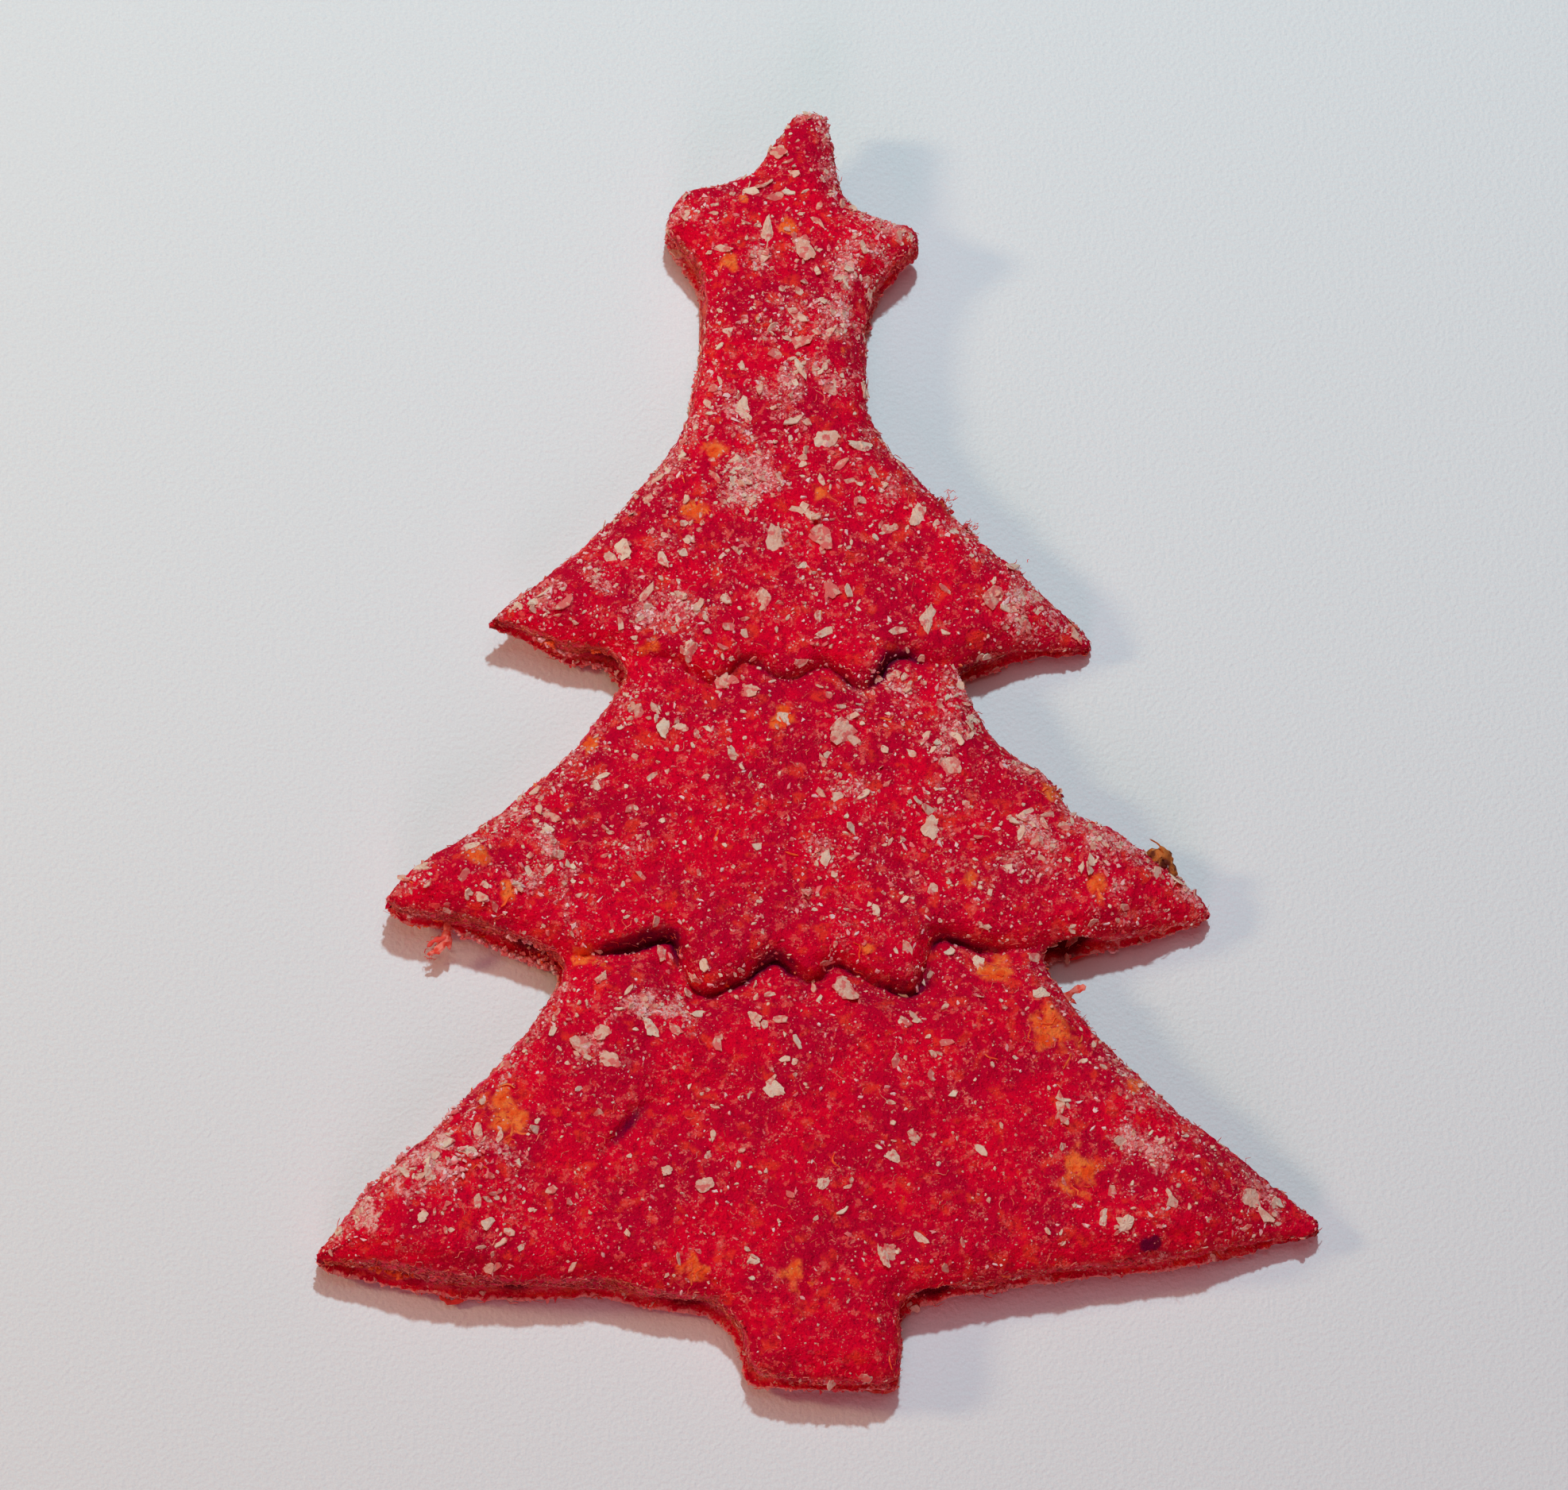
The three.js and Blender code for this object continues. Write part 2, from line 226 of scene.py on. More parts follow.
def underside_rim(corners, triangles):
    """Edges of the triangles that face down whose twin, the same edge run backwards, is missing."""
    first, second, third = (corners[triangles[:, k]] for k in range(3))
    facing = unit(np.cross(second - first, third - first))[:, 2]
    under = triangles[facing < FACING_DOWN]
    starts = under.reshape(-1)
    ends = np.roll(under, -1, axis=1).reshape(-1)
    size = len(corners)
    alone = ~np.isin(starts * size + ends, ends * size + starts)
    return corners[starts[alone], :2], corners[ends[alone], :2]


rim_start, rim_end = underside_rim(solid_corners, solid_triangles)
print("rim edges:", len(rim_start))

# %% Distance to the cut edge
LIP_TUCK = 0.2  # the solid's underside is drawn in by this much under the cut edge
AT_ONCE = 8000  # points that are compared with every edge at the same time


def nearest_edge(places, starts, along):
    """For each place in the plane, the nearest of some edges, given by their starts and the steps
    to their ends: that edge's number, the share of the way along it, and the step from there to
    the place."""
    offset = places[:, None] - starts
    share = np.clip((offset * along).sum(axis=2) / (along ** 2).sum(axis=1), 0, 1)
    apart = offset - share[..., None] * along
    nearest = (apart ** 2).sum(axis=2).argmin(axis=1)
    rows = np.arange(len(places))
    return nearest, share[rows, nearest], apart[rows, nearest]


def edge_distance(points):
    """Distance in the plane to the nearest rim edge, positive inside, and the unit direction from
    that edge outwards. A point is inside when a ray from it crosses the rim an odd number of
    times. The lip's tuck is added back."""
    inside = np.empty(len(points))
    outward = np.empty((len(points), 2))
    along = rim_end - rim_start
    rise = np.where(along[:, 1] == 0, 1, along[:, 1])
    for chunk in np.array_split(np.arange(len(points)), max(1, len(points) // AT_ONCE)):
        apart = nearest_edge(points[chunk, :2], rim_start, along)[2]
        distance = np.linalg.norm(apart, axis=1)
        x, y = points[chunk, 0:1], points[chunk, 1:2]
        spans = (rim_start[:, 1] > y) != (rim_end[:, 1] > y)
        crossing = rim_start[:, 0] + (y - rim_start[:, 1]) * along[:, 0] / rise
        sign = np.where((spans & (x < crossing)).sum(axis=1) % 2, 1.0, -1.0)
        inside[chunk] = distance * sign + LIP_TUCK
        outward[chunk] = -apart * (sign / np.maximum(distance, 1e-6))[:, None]
    return inside, outward


print("the middle is inside by", edge_distance(np.zeros((1, 3)))[0].round(1), "mm")

# %% [markdown]
# ## Thin, lifted tips
#
# The tips baked first: they are thinner than the middle, and some curled up off the tray. The solid
# has this already. The same rule is kept here, so that a height above the tray can be turned back
# into a level within the slab, from 0 at its underside to about 5 at its top.

# %% Tips
TIPS = np.array([  # x, y, reach, share of thickness lost, lift
    (1.9, 46.8, 16, 0.5, 3.0), (10.2, 35.8, 7, 0.3, 1.6), (-8.8, 38.1, 7, 0.3, 1.4),
    (21.0, 6.3, 9, 0.55, 0), (-22.2, 8.5, 8, 0.62, 2.1), (27.8, -12.7, 9, 0.5, 0),
    (-28.8, -11.5, 8, 0.42, 0.8), (34.4, -34.2, 11, 0.62, 0), (-34.0, -35.9, 10, 0.55, 0),
])


def bend(points):
    """The slab's lift and its share of full thickness: near each tip by a smooth hill, one minus
    the squared distance over the squared reach, all squared."""
    apart = points[:, None, :2] - TIPS[:, :2]
    share = np.clip(1 - (apart ** 2).sum(axis=2) / TIPS[:, 2] ** 2, 0, None) ** 2
    return (share * TIPS[:, 4]).sum(axis=1), (1 - share * TIPS[:, 3]).prod(axis=1)


print("lift and thickness at the star's top:", [part.round(2) for part in bend(np.array([[1.9, 44.0, 0]]))])

# %% [markdown]
# ## The pressed hems and the cracks
#
# The cutter pressed a scalloped line across the dough under each of the two upper tiers. The solid
# has both lines already. They are drawn again here as smooth curves, so that the fine mesh can get
# the sharp crease that the solid is too coarse for. A few short cracks are curves of the same kind.

# %% Hem curves
HEMS = [  # x, y, depth of the crease as a share of the deepest
    [(-12.0, 5.2, 0.1), (-9.1, 5.1, 0.25), (-5.9, 3.4, 0.4), (-3.7, 4.8, 0.6), (-1.1, 3.5, 0.45),
     (1.7, 4.6, 0.5), (4.1, 2.8, 0.6), (6.4, 5.2, 0.95), (8.4, 4.6, 0.4), (10.4, 4.4, 0.2)],
    [(-16.7, -15.9, 0.1), (-12.4, -15.2, 0.9), (-9.3, -14.5, 1.2), (-8.7, -16.5, 0.5),
     (-7.3, -18.4, 0.55), (-4.8, -17.7, 0.7), (-2.6, -16.1, 1.0), (-0.2, -17.7, 0.4),
     (1.5, -16.5, 0.7), (3.8, -17.7, 0.6), (6.7, -18.5, 0.75), (7.7, -16.3, 0.5),
     (8.5, -14.7, 0.8), (11.8, -15.5, 0.55), (15.2, -15.5, 0.25)],
]
CRACKS = [
    [(-9.8, -25.6, 0.3), (-11.4, -26.5, 0.7), (-12.9, -28.1, 0.9), (-14.1, -29.6, 0.5)],
    [(-2.6, 27.7, 0.1), (-0.4, 28.1, 0.5), (1.8, 27.9, 0.1)],
]
CURVE_STEPS = 8


def smooth_curve(points, steps):
    """A Catmull-Rom curve: between two points it leaves along the line that joins the first one's
    neighbours, and arrives along the line that joins the second one's."""
    points = np.array(points, float)
    padded = np.vstack([2 * points[0] - points[1], points, 2 * points[-1] - points[-2]])
    t = (np.arange(steps) / steps)[None, :, None]
    a, b, c, d = (padded[k:len(padded) - 3 + k, None] for k in range(4))
    curve = 0.5 * (2 * b + (c - a) * t + (2 * a - 5 * b + 4 * c - d) * t ** 2
                   + (3 * b - a - 3 * c + d) * t ** 3)
    return np.vstack([curve.reshape(-1, points.shape[1]), points[-1]])


hem_curves = [smooth_curve(points, CURVE_STEPS) for points in HEMS]
crack_curves = [smooth_curve(points, CURVE_STEPS) for points in CRACKS]
print("hem points:", [len(curve) for curve in hem_curves])

# %% Distance to a curve
def line_distance(points, curve, reach=3.0):
    """Distance to an open line of points, positive on its left, the unit direction across, and the
    strength that the line has at its nearest place. All are worked out only near the line, and
    elsewhere the distance is the reach."""
    distance = np.full(len(points), reach)
    across = np.zeros((len(points), 2))
    strength = np.zeros(len(points))
    line = curve[:, :2]
    within = (points[:, :2] > line.min(axis=0) - reach) & (points[:, :2] < line.max(axis=0) + reach)
    near = np.flatnonzero(within.all(axis=1))
    along = np.diff(line, axis=0)
    for chunk in np.array_split(near, max(1, len(near) // AT_ONCE)):
        nearest, share, apart = nearest_edge(points[chunk, :2], line[:-1], along)
        offset = points[chunk, :2] - line[nearest]
        side = np.sign(along[nearest, 0] * offset[:, 1] - along[nearest, 1] * offset[:, 0])
        side = np.where(side == 0, 1, side)
        length = np.maximum(np.hypot(apart[:, 0], apart[:, 1]), 1e-6)
        distance[chunk] = np.minimum(length, reach) * side
        across[chunk] = apart / (length * side)[:, None]
        strength[chunk] = curve[nearest, 2] * (1 - share) + curve[nearest + 1, 2] * share
    return distance, across, strength


below_hem = np.array([[0.0, 3.0, 0.0]])
distance, _, _ = line_distance(below_hem, hem_curves[0])
print("the upper hem passes", below_hem[0, :2], "at a distance of", distance.round(2), "mm")

# %% [markdown]
# ## The dough
#
# The dough could be a shaded copy of the solid with a bump map, but its torn edge shows in outline
# and its lumps cast shadows. So the copy is turned into an even mesh of small cells with a voxel
# remesh, then a Decimate modifier thins the underside alone, where nothing fine shows. The rest is
# relaxed until the solid's flat triangles are gone, and then moved point by point.

# %% Fine mesh
CELL = 0.24
UNDERSIDE_KEPT = 0.07  # the share of the underside's points that stays
FLAT_UNDERSIDE = -0.97  # only normals that point down this much are thinned


def add_object(name, points, faces, smooth=True):
    """A mesh object at the origin from points in mm and rows of corner numbers."""
    mesh = bpy.data.meshes.new(name)
    points, faces = np.asarray(points, float), np.asarray(faces, np.int32)
    mesh.vertices.add(len(points))
    mesh.vertices.foreach_set("co", (points * MM).ravel())
    mesh.loops.add(faces.size)
    mesh.loops.foreach_set("vertex_index", faces.ravel())
    mesh.polygons.add(len(faces))
    mesh.polygons.foreach_set("loop_start", np.arange(len(faces)) * faces.shape[1])
    mesh.polygons.foreach_set("use_smooth", np.full(len(faces), smooth))
    mesh.update(calc_edges=True)
    made = bpy.data.objects.new(name, mesh)
    bpy.context.collection.objects.link(made)
    return made


def evaluated(source, kind, **settings):
    """The mesh that a modifier makes of an object, which is then removed."""
    modifier = source.modifiers.new("step", kind)
    for name, value in settings.items():
        setattr(modifier, name, value)
    graph = bpy.context.evaluated_depsgraph_get()
    mesh = bpy.data.meshes.new_from_object(source.evaluated_get(graph))
    bpy.data.objects.remove(source)
    return mesh


def fine_mesh(points, faces, cell):
    """Points and triangles of an even mesh over the same shape, with few of them underneath. The
    Decimate modifier takes a share of all triangles to keep, so the share that leaves the rest
    alone is worked out from how many points face down."""
    even = evaluated(add_object("even_copy", points, faces), "REMESH", mode="VOXEL", voxel_size=cell * MM)
    facing = np.empty(len(even.vertices) * 3)
    even.vertices.foreach_get("normal", facing)
    under = facing.reshape(-1, 3)[:, 2] < FLAT_UNDERSIDE
    thinned = bpy.data.objects.new("thinned_copy", even)
    bpy.context.collection.objects.link(thinned)
    group = thinned.vertex_groups.new(name="under")
    group.add(np.flatnonzero(under).tolist(), 1.0, "REPLACE")
    kept = 1 - (1 - UNDERSIDE_KEPT) * under.sum() / len(even.vertices)
    mesh = evaluated(thinned, "DECIMATE", ratio=kept, vertex_group="under", vertex_group_factor=1000)
    return read_mesh(mesh)


points, triangles = fine_mesh(solid_corners, solid_triangles, CELL)
print("even mesh:", len(points), "points")

# %% Relaxed mesh
RELAXING = 5  # rounds


def relaxed(points, faces, rounds, share=0.5):
    """Each point moves part of the way to the middle of its neighbours along the triangles' edges."""
    starts = faces.reshape(-1)
    ends = np.roll(faces, -1, axis=1).reshape(-1)
    count = np.bincount(starts, minlength=len(points)) + np.bincount(ends, minlength=len(points))
    for _ in range(rounds):
        total = np.zeros_like(points)
        for axis in range(3):
            total[:, axis] = (np.bincount(starts, points[ends, axis], len(points))
                              + np.bincount(ends, points[starts, axis], len(points)))
        points = points + share * (total / count[:, None] - points)
    return points


def normals_of(points, faces):
    """Unit normals at the points: the sum of the normals of the triangles around each."""
    across = np.cross(points[faces[:, 1]] - points[faces[:, 0]], points[faces[:, 2]] - points[faces[:, 0]])
    total = np.zeros_like(points)
    for axis in range(3):
        for corner in range(3):
            total[:, axis] += np.bincount(faces[:, corner], across[:, axis], len(points))
    return unit(total)


points = relaxed(points, triangles, RELAXING)
points[:, 2] = np.maximum(points[:, 2], 0)
print("dough mesh:", len(points), "points,", len(triangles), "triangles")

# %% [markdown]
# ## Shaping the dough
#
# Several things happen to the fine mesh, each as one array sum: its ends warp, the top gets lumps
# and fine creases, the hems fold over their grooves, the cut wall is torn hollow, and the skin that
# touched the tray spreads a ragged lip. Masks from 0 to 1, made from the level in the slab, the
# normal and the distance to the edge, say where each of them acts.

# %% Masks
normals = normals_of(points, triangles)
inside, outward = edge_distance(points)
lift, thickness = bend(points)
level = (points[:, 2] - lift) / thickness
facing_up = ease(normals[:, 2], 0.15, 0.7) * ease(level, 1.6, 2.6)
facing_down = ease(-normals[:, 2], 0.45, 0.8) * (1 - ease(level, 0.25, 0.6))
wall = (1 - facing_up) * (1 - facing_down)
print("shares of top, wall and underside:",
      [round(float(mask.mean()), 2) for mask in (facing_up, wall, facing_down)])

# %% [markdown]
# ## This biscuit's own warp
#
# No two biscuits of one cutter dry alike. In this one the ends of the tiers and of the trunk rose a
# little more than the solid's do, and some of them swelled or shrank. A few bell-shaped hills in the
# height do it, after the masks, so that the masks still follow the unwarped slab. A raised end also
# shifts by half its rise towards the camera, so that its outline seen from there hardly moves.

# %% Warped ends
WARPS = [  # x, y, reach, share of height gained, rise
    (-22.2, 8.5, 5.0, 0, 0.6), (-28.8, -11.5, 7.0, 0.28, 0.55), (-31.0, -34.5, 7.0, 0.45, 0),
    (34.4, -34.2, 5.5, -0.2, 0.9), (27.8, -12.7, 5.0, 0, 0.45), (21.0, 6.3, 4.0, 0, 0.3),
    (-32.0, -35.6, 3.6, 0, 0.6), (-0.5, -44.2, 4.5, -0.28, 1.1),
]
WARP_SHIFT = 0.5
for x, y, reach, gain, rise in WARPS:
    share = hill(points, x, y, reach)
    points[:, 2] = points[:, 2] * (1 + gain * share) + rise * share
    points[:, 1] -= WARP_SHIFT * rise * share
print("warped ends:", len(WARPS))

# %% [markdown]
# ## Lumps, hems and cracks
#
# In each sum a noise is written as its height times the noise of a length across, both in mm, and a
# seed. The tier above a hem was squeezed over the crease, so its edge is pushed across and swells.

# %% Lumps and creases on top
lump = 0.13 * rough(points, 3.4, 11, 2) + 0.07 * rough(points, 1.3, 21, 2)
fibre = 0.06 * ridges(points, 0.95, 31) + 0.045 * ridges(points * [1.0, 1.0, 0.5], 0.6, 37)
points += normals * ((lump + fibre) * facing_up * np.minimum(thickness + 0.2, 1))[:, None]
print("lumps up to", round(float((lump + fibre).max()), 2), "mm")

# %% Hems and cracks
CREASE_DEPTH, CREASE_WIDTH = 0.78, 0.30
CREASE_AT = -0.02  # across the drawn line
BRINK_DROP = 0.22  # the tier above sinks towards the crease
FOLD_AT, FOLD_WIDTH = 0.75, 0.7  # its fold lies this far above the crease
FOLD_PUSH, FOLD_RISE = 0.30, 0.14
CRACK_DEPTH, CRACK_WIDTH, CRACK_REACH = 0.7, 0.4, 4.0
# painted shade in the hems and cracks, and on the slope above each hem
hem_shade = np.zeros(len(points))  # how dark the dough is in the hems and cracks
for curve in hem_curves:
    distance, across, strength = line_distance(points, curve)
    distance = distance + 0.16 * noise(points, 1.1, 45) + 0.10 * noise(points, 0.45, 47)
    fade = ease(inside, 0.1, 1.2) * facing_up * strength
    uneven = np.clip(1 + 0.42 * noise(points, 2.3, 42) + 0.30 * noise(points, 0.8, 43), 0.5, 1.4)
    crease = bump(distance - CREASE_AT, CREASE_WIDTH) * uneven * fade
    fold = np.where(distance > 0, bump(distance - FOLD_AT, FOLD_WIDTH), 0) * uneven * fade
    brink = ease(distance, -0.1, 0.1) * (1 - ease(distance, 0.2, 1.5)) * fade
    points[:, 2] -= (CREASE_DEPTH * crease + BRINK_DROP * brink) * (1 + 0.35 * noise(points, 0.6, 53))
    points[:, :2] -= across * (FOLD_PUSH * fold)[:, None]
    points[:, 2] += FOLD_RISE * fold
    # painted shade: darkest in the crease, fading up the slope of the tier above it
    crease_shade = (bump(distance - CREASE_AT, 0.42) + 0.35 * bump(distance - 0.3, 0.9)) * uneven + 0.30 * brink
    hem_shade = np.maximum(hem_shade, np.clip(crease_shade, 0, 1.1) * fade)
for curve in crack_curves:
    distance, across, strength = line_distance(points, curve)
    fade = hill(points, *curve[:, :2].mean(axis=0), CRACK_REACH) * facing_up * strength
    points[:, 2] -= CRACK_DEPTH * bump(distance, CRACK_WIDTH) * fade
    # painted shade along the crack
    hem_shade = np.maximum(hem_shade, 0.9 * bump(distance, 1.5 * CRACK_WIDTH) * fade)
print("deepest crease mask:", round(float(hem_shade.max()), 2))

# %% [markdown]
# ## The torn wall
#
# The cutter dragged the dough along, so the wall is hollow at its waist and full of holes, and a
# crack runs round it just above the lip. The left side baked harder: there the wall shrank back
# further. The holes that stand out are named one by one, and noise in flat layers makes the rest.

# %% How far the wall stands back
SHRUNK_END = (-26.5, -36.5, 6.5)  # x, y, reach: the lowest tier's left end shrank most
front = ease(-outward[:, 1], -0.2, 0.6)  # walls that face the trunk's end
baked_side = ease(-points[:, 0], 1, 7)  # the left side
along_wall = points * [1, 1, 0]
uneven = 0.65 + 0.6 * noise(along_wall, 5.0, 49)
setback = (0.03 + 0.27 * front * uneven * (0.3 + 0.7 * baked_side)) * ease(level, 0.5, 0.9)
setback += 0.5 * hill(points, *SHRUNK_END) * front * ease(level, 0.5, 1.6)
setback *= 1 - ease(inside, 0.0, 2.6)
points[:, :2] -= outward * setback[:, None]
print("wall stands back by up to", round(float(setback.max()), 2), "mm")

# %% Tears, holes and crumbs
PITS = [  # x, y, z, radius, depth
    (-24.9, -12.0, 1.7, 0.7, 0.9), (-26.4, -11.7, 1.9, 0.45, 0.5), (-18.8, -14.4, 1.6, 1.5, 0.7),
    (-15.9, -15.0, 1.4, 0.8, 0.8), (17.3, -14.8, 1.6, 1.7, 1.3), (21.6, -36.5, 3.3, 0.65, 1.1),
    (-13.5, 5.1, 1.7, 1.4, 0.8), (14.0, 5.0, 1.6, 1.0, 0.5), (7.6, -38.8, 1.7, 1.6, 0.95),
    (-9.0, -39.5, 1.2, 1.5, 0.5), (-20.0, -38.4, 1.3, 1.2, 0.4), (8.0, 31.5, 2.0, 0.9, 0.5),
]
SPLIT_LEVEL, SPLIT_WIDTH = 0.85, 0.26  # the crack above the lip
strata = np.column_stack([points[:, :2] * 0.8, level * 2.2])  # noise on these lies in flat layers
hollow_band = ease(level, 0.45, 1.1) * (1 - ease(level, 2.6, 3.8))
split_at = SPLIT_LEVEL + 0.18 * noise(along_wall, 4.5, 55)
gaping = np.maximum(ease(noise(along_wall, 3.1, 59), -0.4, 0.5), 0.75 * baked_side)
split = bump(level - split_at, SPLIT_WIDTH) * (0.2 + 0.8 * gaping)
tear = 0.16 * ease(rough(strata, 2.1, 51), -0.3, 1.0) + 0.18 * ease(noise(strata, 3.7, 57), 0.3, 0.8)
pit = np.zeros(len(points))
for x, y, z, radius, depth in PITS:
    pit = np.maximum(pit, depth * bump(np.linalg.norm((points - [x, y, z]) * [1, 1, 1.3], axis=1), radius))
pulled = wall * (hollow_band * tear + (0.35 + 0.3 * front) * split + pit * ease(level, 0.3, 0.7))
points[:, :2] -= outward * pulled[:, None]
crumb = 0.17 * rough(strata, 1.0, 61) + (0.09 + 0.05 * (1 - baked_side)) * ridges(strata, 0.55, 67)
points += normals * (crumb * wall * ease(level, 0.8, 1.3))[:, None]
print("wall is pulled in by up to", round(float(pulled.max()), 2), "mm")

# %% Lip and underside
LIP_SPREAD = 0.20
DOUGH_TOP = 1.016 * high[2]  # heights past the soft start are squeezed in below this
SOFT_START = 5.15
lip_band = wall * (1 - ease(level, 0.4, 0.7))
wavy = 0.20 * noise(along_wall, 2.8, 71) + 0.14 * noise(along_wall, 1.1, 73)
wavy += 0.07 * noise(along_wall, 0.5, 75)
points[:, :2] += outward * (lip_band * (wavy + LIP_SPREAD))[:, None]
curl = 0.12 + 0.34 * ease(noise(along_wall, 3.3, 77), -0.3, 0.7)
points[:, 2] += (wall + facing_down) * (1 - ease(level, 0.5, 1.2)) * bump(inside, 0.9) * curl
bubbles = 0.12 * ease(rough(points * [1, 1, 0], 1.8, 81, 2), 0.1, 0.9)
points[:, 2] += facing_down * bubbles * ease(inside, 0.4, 1.4)
over, room = points[:, 2] - SOFT_START, DOUGH_TOP - SOFT_START
points[:, 2] = np.where(over > 0, SOFT_START + room * np.tanh(over / room), np.maximum(points[:, 2], 0))
print("moved; box", points.min(0).round(2), points.max(0).round(2))

# %% [markdown]
# ## Where colour changes
#
# Flour lies in soft patches, grated carrot shows through as orange spots, some patches of dough are
# darker, and shade is painted into the creases and along the torn wall. Each of these is stored on
# the mesh as a number from 0 to 1 at every point, so that the material can read it wherever the
# surface went.

# %% Patches
FLOUR_PATCHES = [  # x, y, radius, strength
    (-3, 18.5, 2.4, 1.0), (-9, 14.5, 2.2, 0.7), (-15.5, 9.5, 3.2, 1.0), (-9.5, 8, 2.4, 0.8),
    (-6.5, 38, 1.6, 0.6), (-2, 34, 2.2, 0.6), (5.5, 33.5, 2.4, 0.9), (2.5, 29.5, 2.2, 0.9),
    (0, 24.5, 3.2, 1.0), (-4, 23.5, 2.2, 0.6), (7, 17.5, 1.4, 0.6), (15, 9, 2.2, 0.8),
    (-17, -8, 1.8, 0.9), (-17.5, -10.5, 1.6, 0.7), (-3, -13.5, 2.6, 0.9), (9, -1, 2.4, 0.8),
    (14.5, -8, 3.2, 0.75), (21, -11.5, 2.6, 0.75), (-11, -21, 1.8, 0.9), (-24.5, -30, 3, 1.3),
    (-20.5, -29.5, 2.2, 0.7), (21.5, -29, 2.4, 0.8), (28.5, -32.5, 2.2, 0.7), (-14, -3.5, 1.4, 0.5),
    (-30, -32.8, 2.6, 1.5), (-27.5, -31.2, 2.4, 1.4), (-26, -28.5, 2.0, 1.3), (19.5, -8, 2.2, 0.6),
    (23.8, -11.8, 2.8, 0.85), (-22.8, -25.8, 1.8, 1.2), (-20.5, -23, 1.3, 0.7), (4.5, 2.5, 2.2, 0.6),
    (3, -4, 2.2, 0.55), (1, -9, 2.0, 0.55), (-6, -2, 1.6, 0.45), (5, -11, 1.8, 0.45),
    (-12, -9, 1.8, 0.4), (-17.3, -7.6, 2.2, 1.0), (-16.3, -10.4, 1.6, 0.8), (-15.2, -12.4, 1.5, 0.6),
    (-11.2, -19.5, 2.2, 1.0), (-9.2, -20.6, 1.8, 1.0), (-14.2, -22.3, 1.8, 0.8), (-12, -17.6, 1.6, 0.7),
    (-17.8, 11.2, 2.4, 1.0), (-19.4, 9.0, 2.0, 1.0), (-14.5, 13.2, 1.8, 0.8), (-22.5, -28.3, 2.2, 1.2),
    (-25, -30.5, 2.4, 1.3), (-28.5, -32.5, 2.0, 1.1), (-3, -24, 2.0, 0.3), (6, -22, 1.8, 0.3),
    # wide, thin dustings
    (1, 27, 9, 0.32), (-1, 14, 9, 0.22), (11, -6, 10, 0.22), (-17, -8, 7, 0.12), (3, -13, 8, 0.22),
    (22, -29, 10, 0.24), (-22, -29, 9, 0.24), (1, 37, 9, 0.16), (-12, 9, 9, 0.26), (-8, -21, 6, 0.22),
]
DARKER_AND_SHADED_PATCHES = [  # x, y, radius, strength: darker dough, and painted shade along the lowest tier's lower left edge and, in the last two, at a hole in its right wall
    (-1.5, -43.3, 1.7, 0.42), (1.5, -43.6, 1.2, 0.35), (-1, 33.0, 1.6, 0.3), (-0.5, 29.5, 1.6, 0.3),
    (-19, -9, 1.6, 0.2), (-12.5, -13.2, 2.0, 0.35), (-27, -35.6, 2.4, 0.35), (-22, -36.6, 2.4, 0.35),
    (-11.8, 7.0, 2.2, 0.35), (13, 6.4, 1.8, 0.3), (3, -1.5, 2.2, 0.2), (-10, -30, 3, 0.2),
    (21.3, -36.25, 0.42, 1.6), (21.9, -36.1, 0.42, 1.6),
]
CARROT_SPOTS = [  # x, y, radius
    (-3, 38, 0.4), (0, 36, 0.5), (-4, 33.5, 0.5), (-5.5, 20, 0.6), (-7, 15.5, 0.7), (1.5, 16.5, 0.6),
    (-10, 6, 0.7), (-17, 5.5, 0.6), (-22, -9, 0.7), (-20, -11.5, 0.6), (-1.5, 0.5, 0.7),
    (-14.5, -1, 0.5), (3.5, 27, 0.5), (-21, -26, 0.9), (-20.5, -27.5, 1.1), (16, -21.5, 1.3),
    (12, -17, 0.9), (-15, -16, 0.7), (17, -31.5, 1.4), (21, -25.5, 0.6), (-2, -38, 0.9),
    (-8.5, -37.5, 0.7), (19, -11.5, 0.7), (16.5, -4.5, 0.7), (10.5, -11, 0.6), (3.5, -16, 0.5),
]


def patchiness(points, patches):
    """The strongest of the patches at each point, each a bell round its middle."""
    total = np.zeros(len(points))
    for x, y, radius, strength in patches:
        total = np.maximum(total, strength * hill(points, x, y, radius))
    return total


def flour_at(points):
    """Flour in the named patches, over a thin dusting everywhere. The places are first pushed about
    by noise, so that no patch stays round, and each patch is broken up by stronger noise."""
    warped = points.copy()
    for axis in range(2):
        warped[:, axis] += 1.5 * noise(points, 3.6, 101 + axis) + 0.8 * noise(points, 1.5, 105 + axis)
    broken = np.clip(0.50 + 1.3 * rough(points, 1.5, 91), 0, 1.3)
    dusting = 0.02 + 0.13 * rough(points, 3.2, 95, 2)
    return np.clip(np.maximum(patchiness(warped, FLOUR_PATCHES) * broken, dusting), 0, 1)


def carrot_at(points):
    """Orange where a shred of carrot lies near the surface, with an uneven rim."""
    spots = [(x, y, radius * 1.5, 1.05) for x, y, radius in CARROT_SPOTS]
    return np.clip(patchiness(points, spots) + 0.45 * rough(points, 0.8, 97, 2) - 0.3, 0, 1)


def store(target, name, values):
    """Writes one number per point into a named attribute of the mesh."""
    layer = target.data.attributes.new(name, "FLOAT", "POINT")
    layer.data.foreach_set("value", np.asarray(values, np.float32))


print("floury, dark and orange places:", len(FLOUR_PATCHES), len(DARKER_AND_SHADED_PATCHES), len(CARROT_SPOTS))

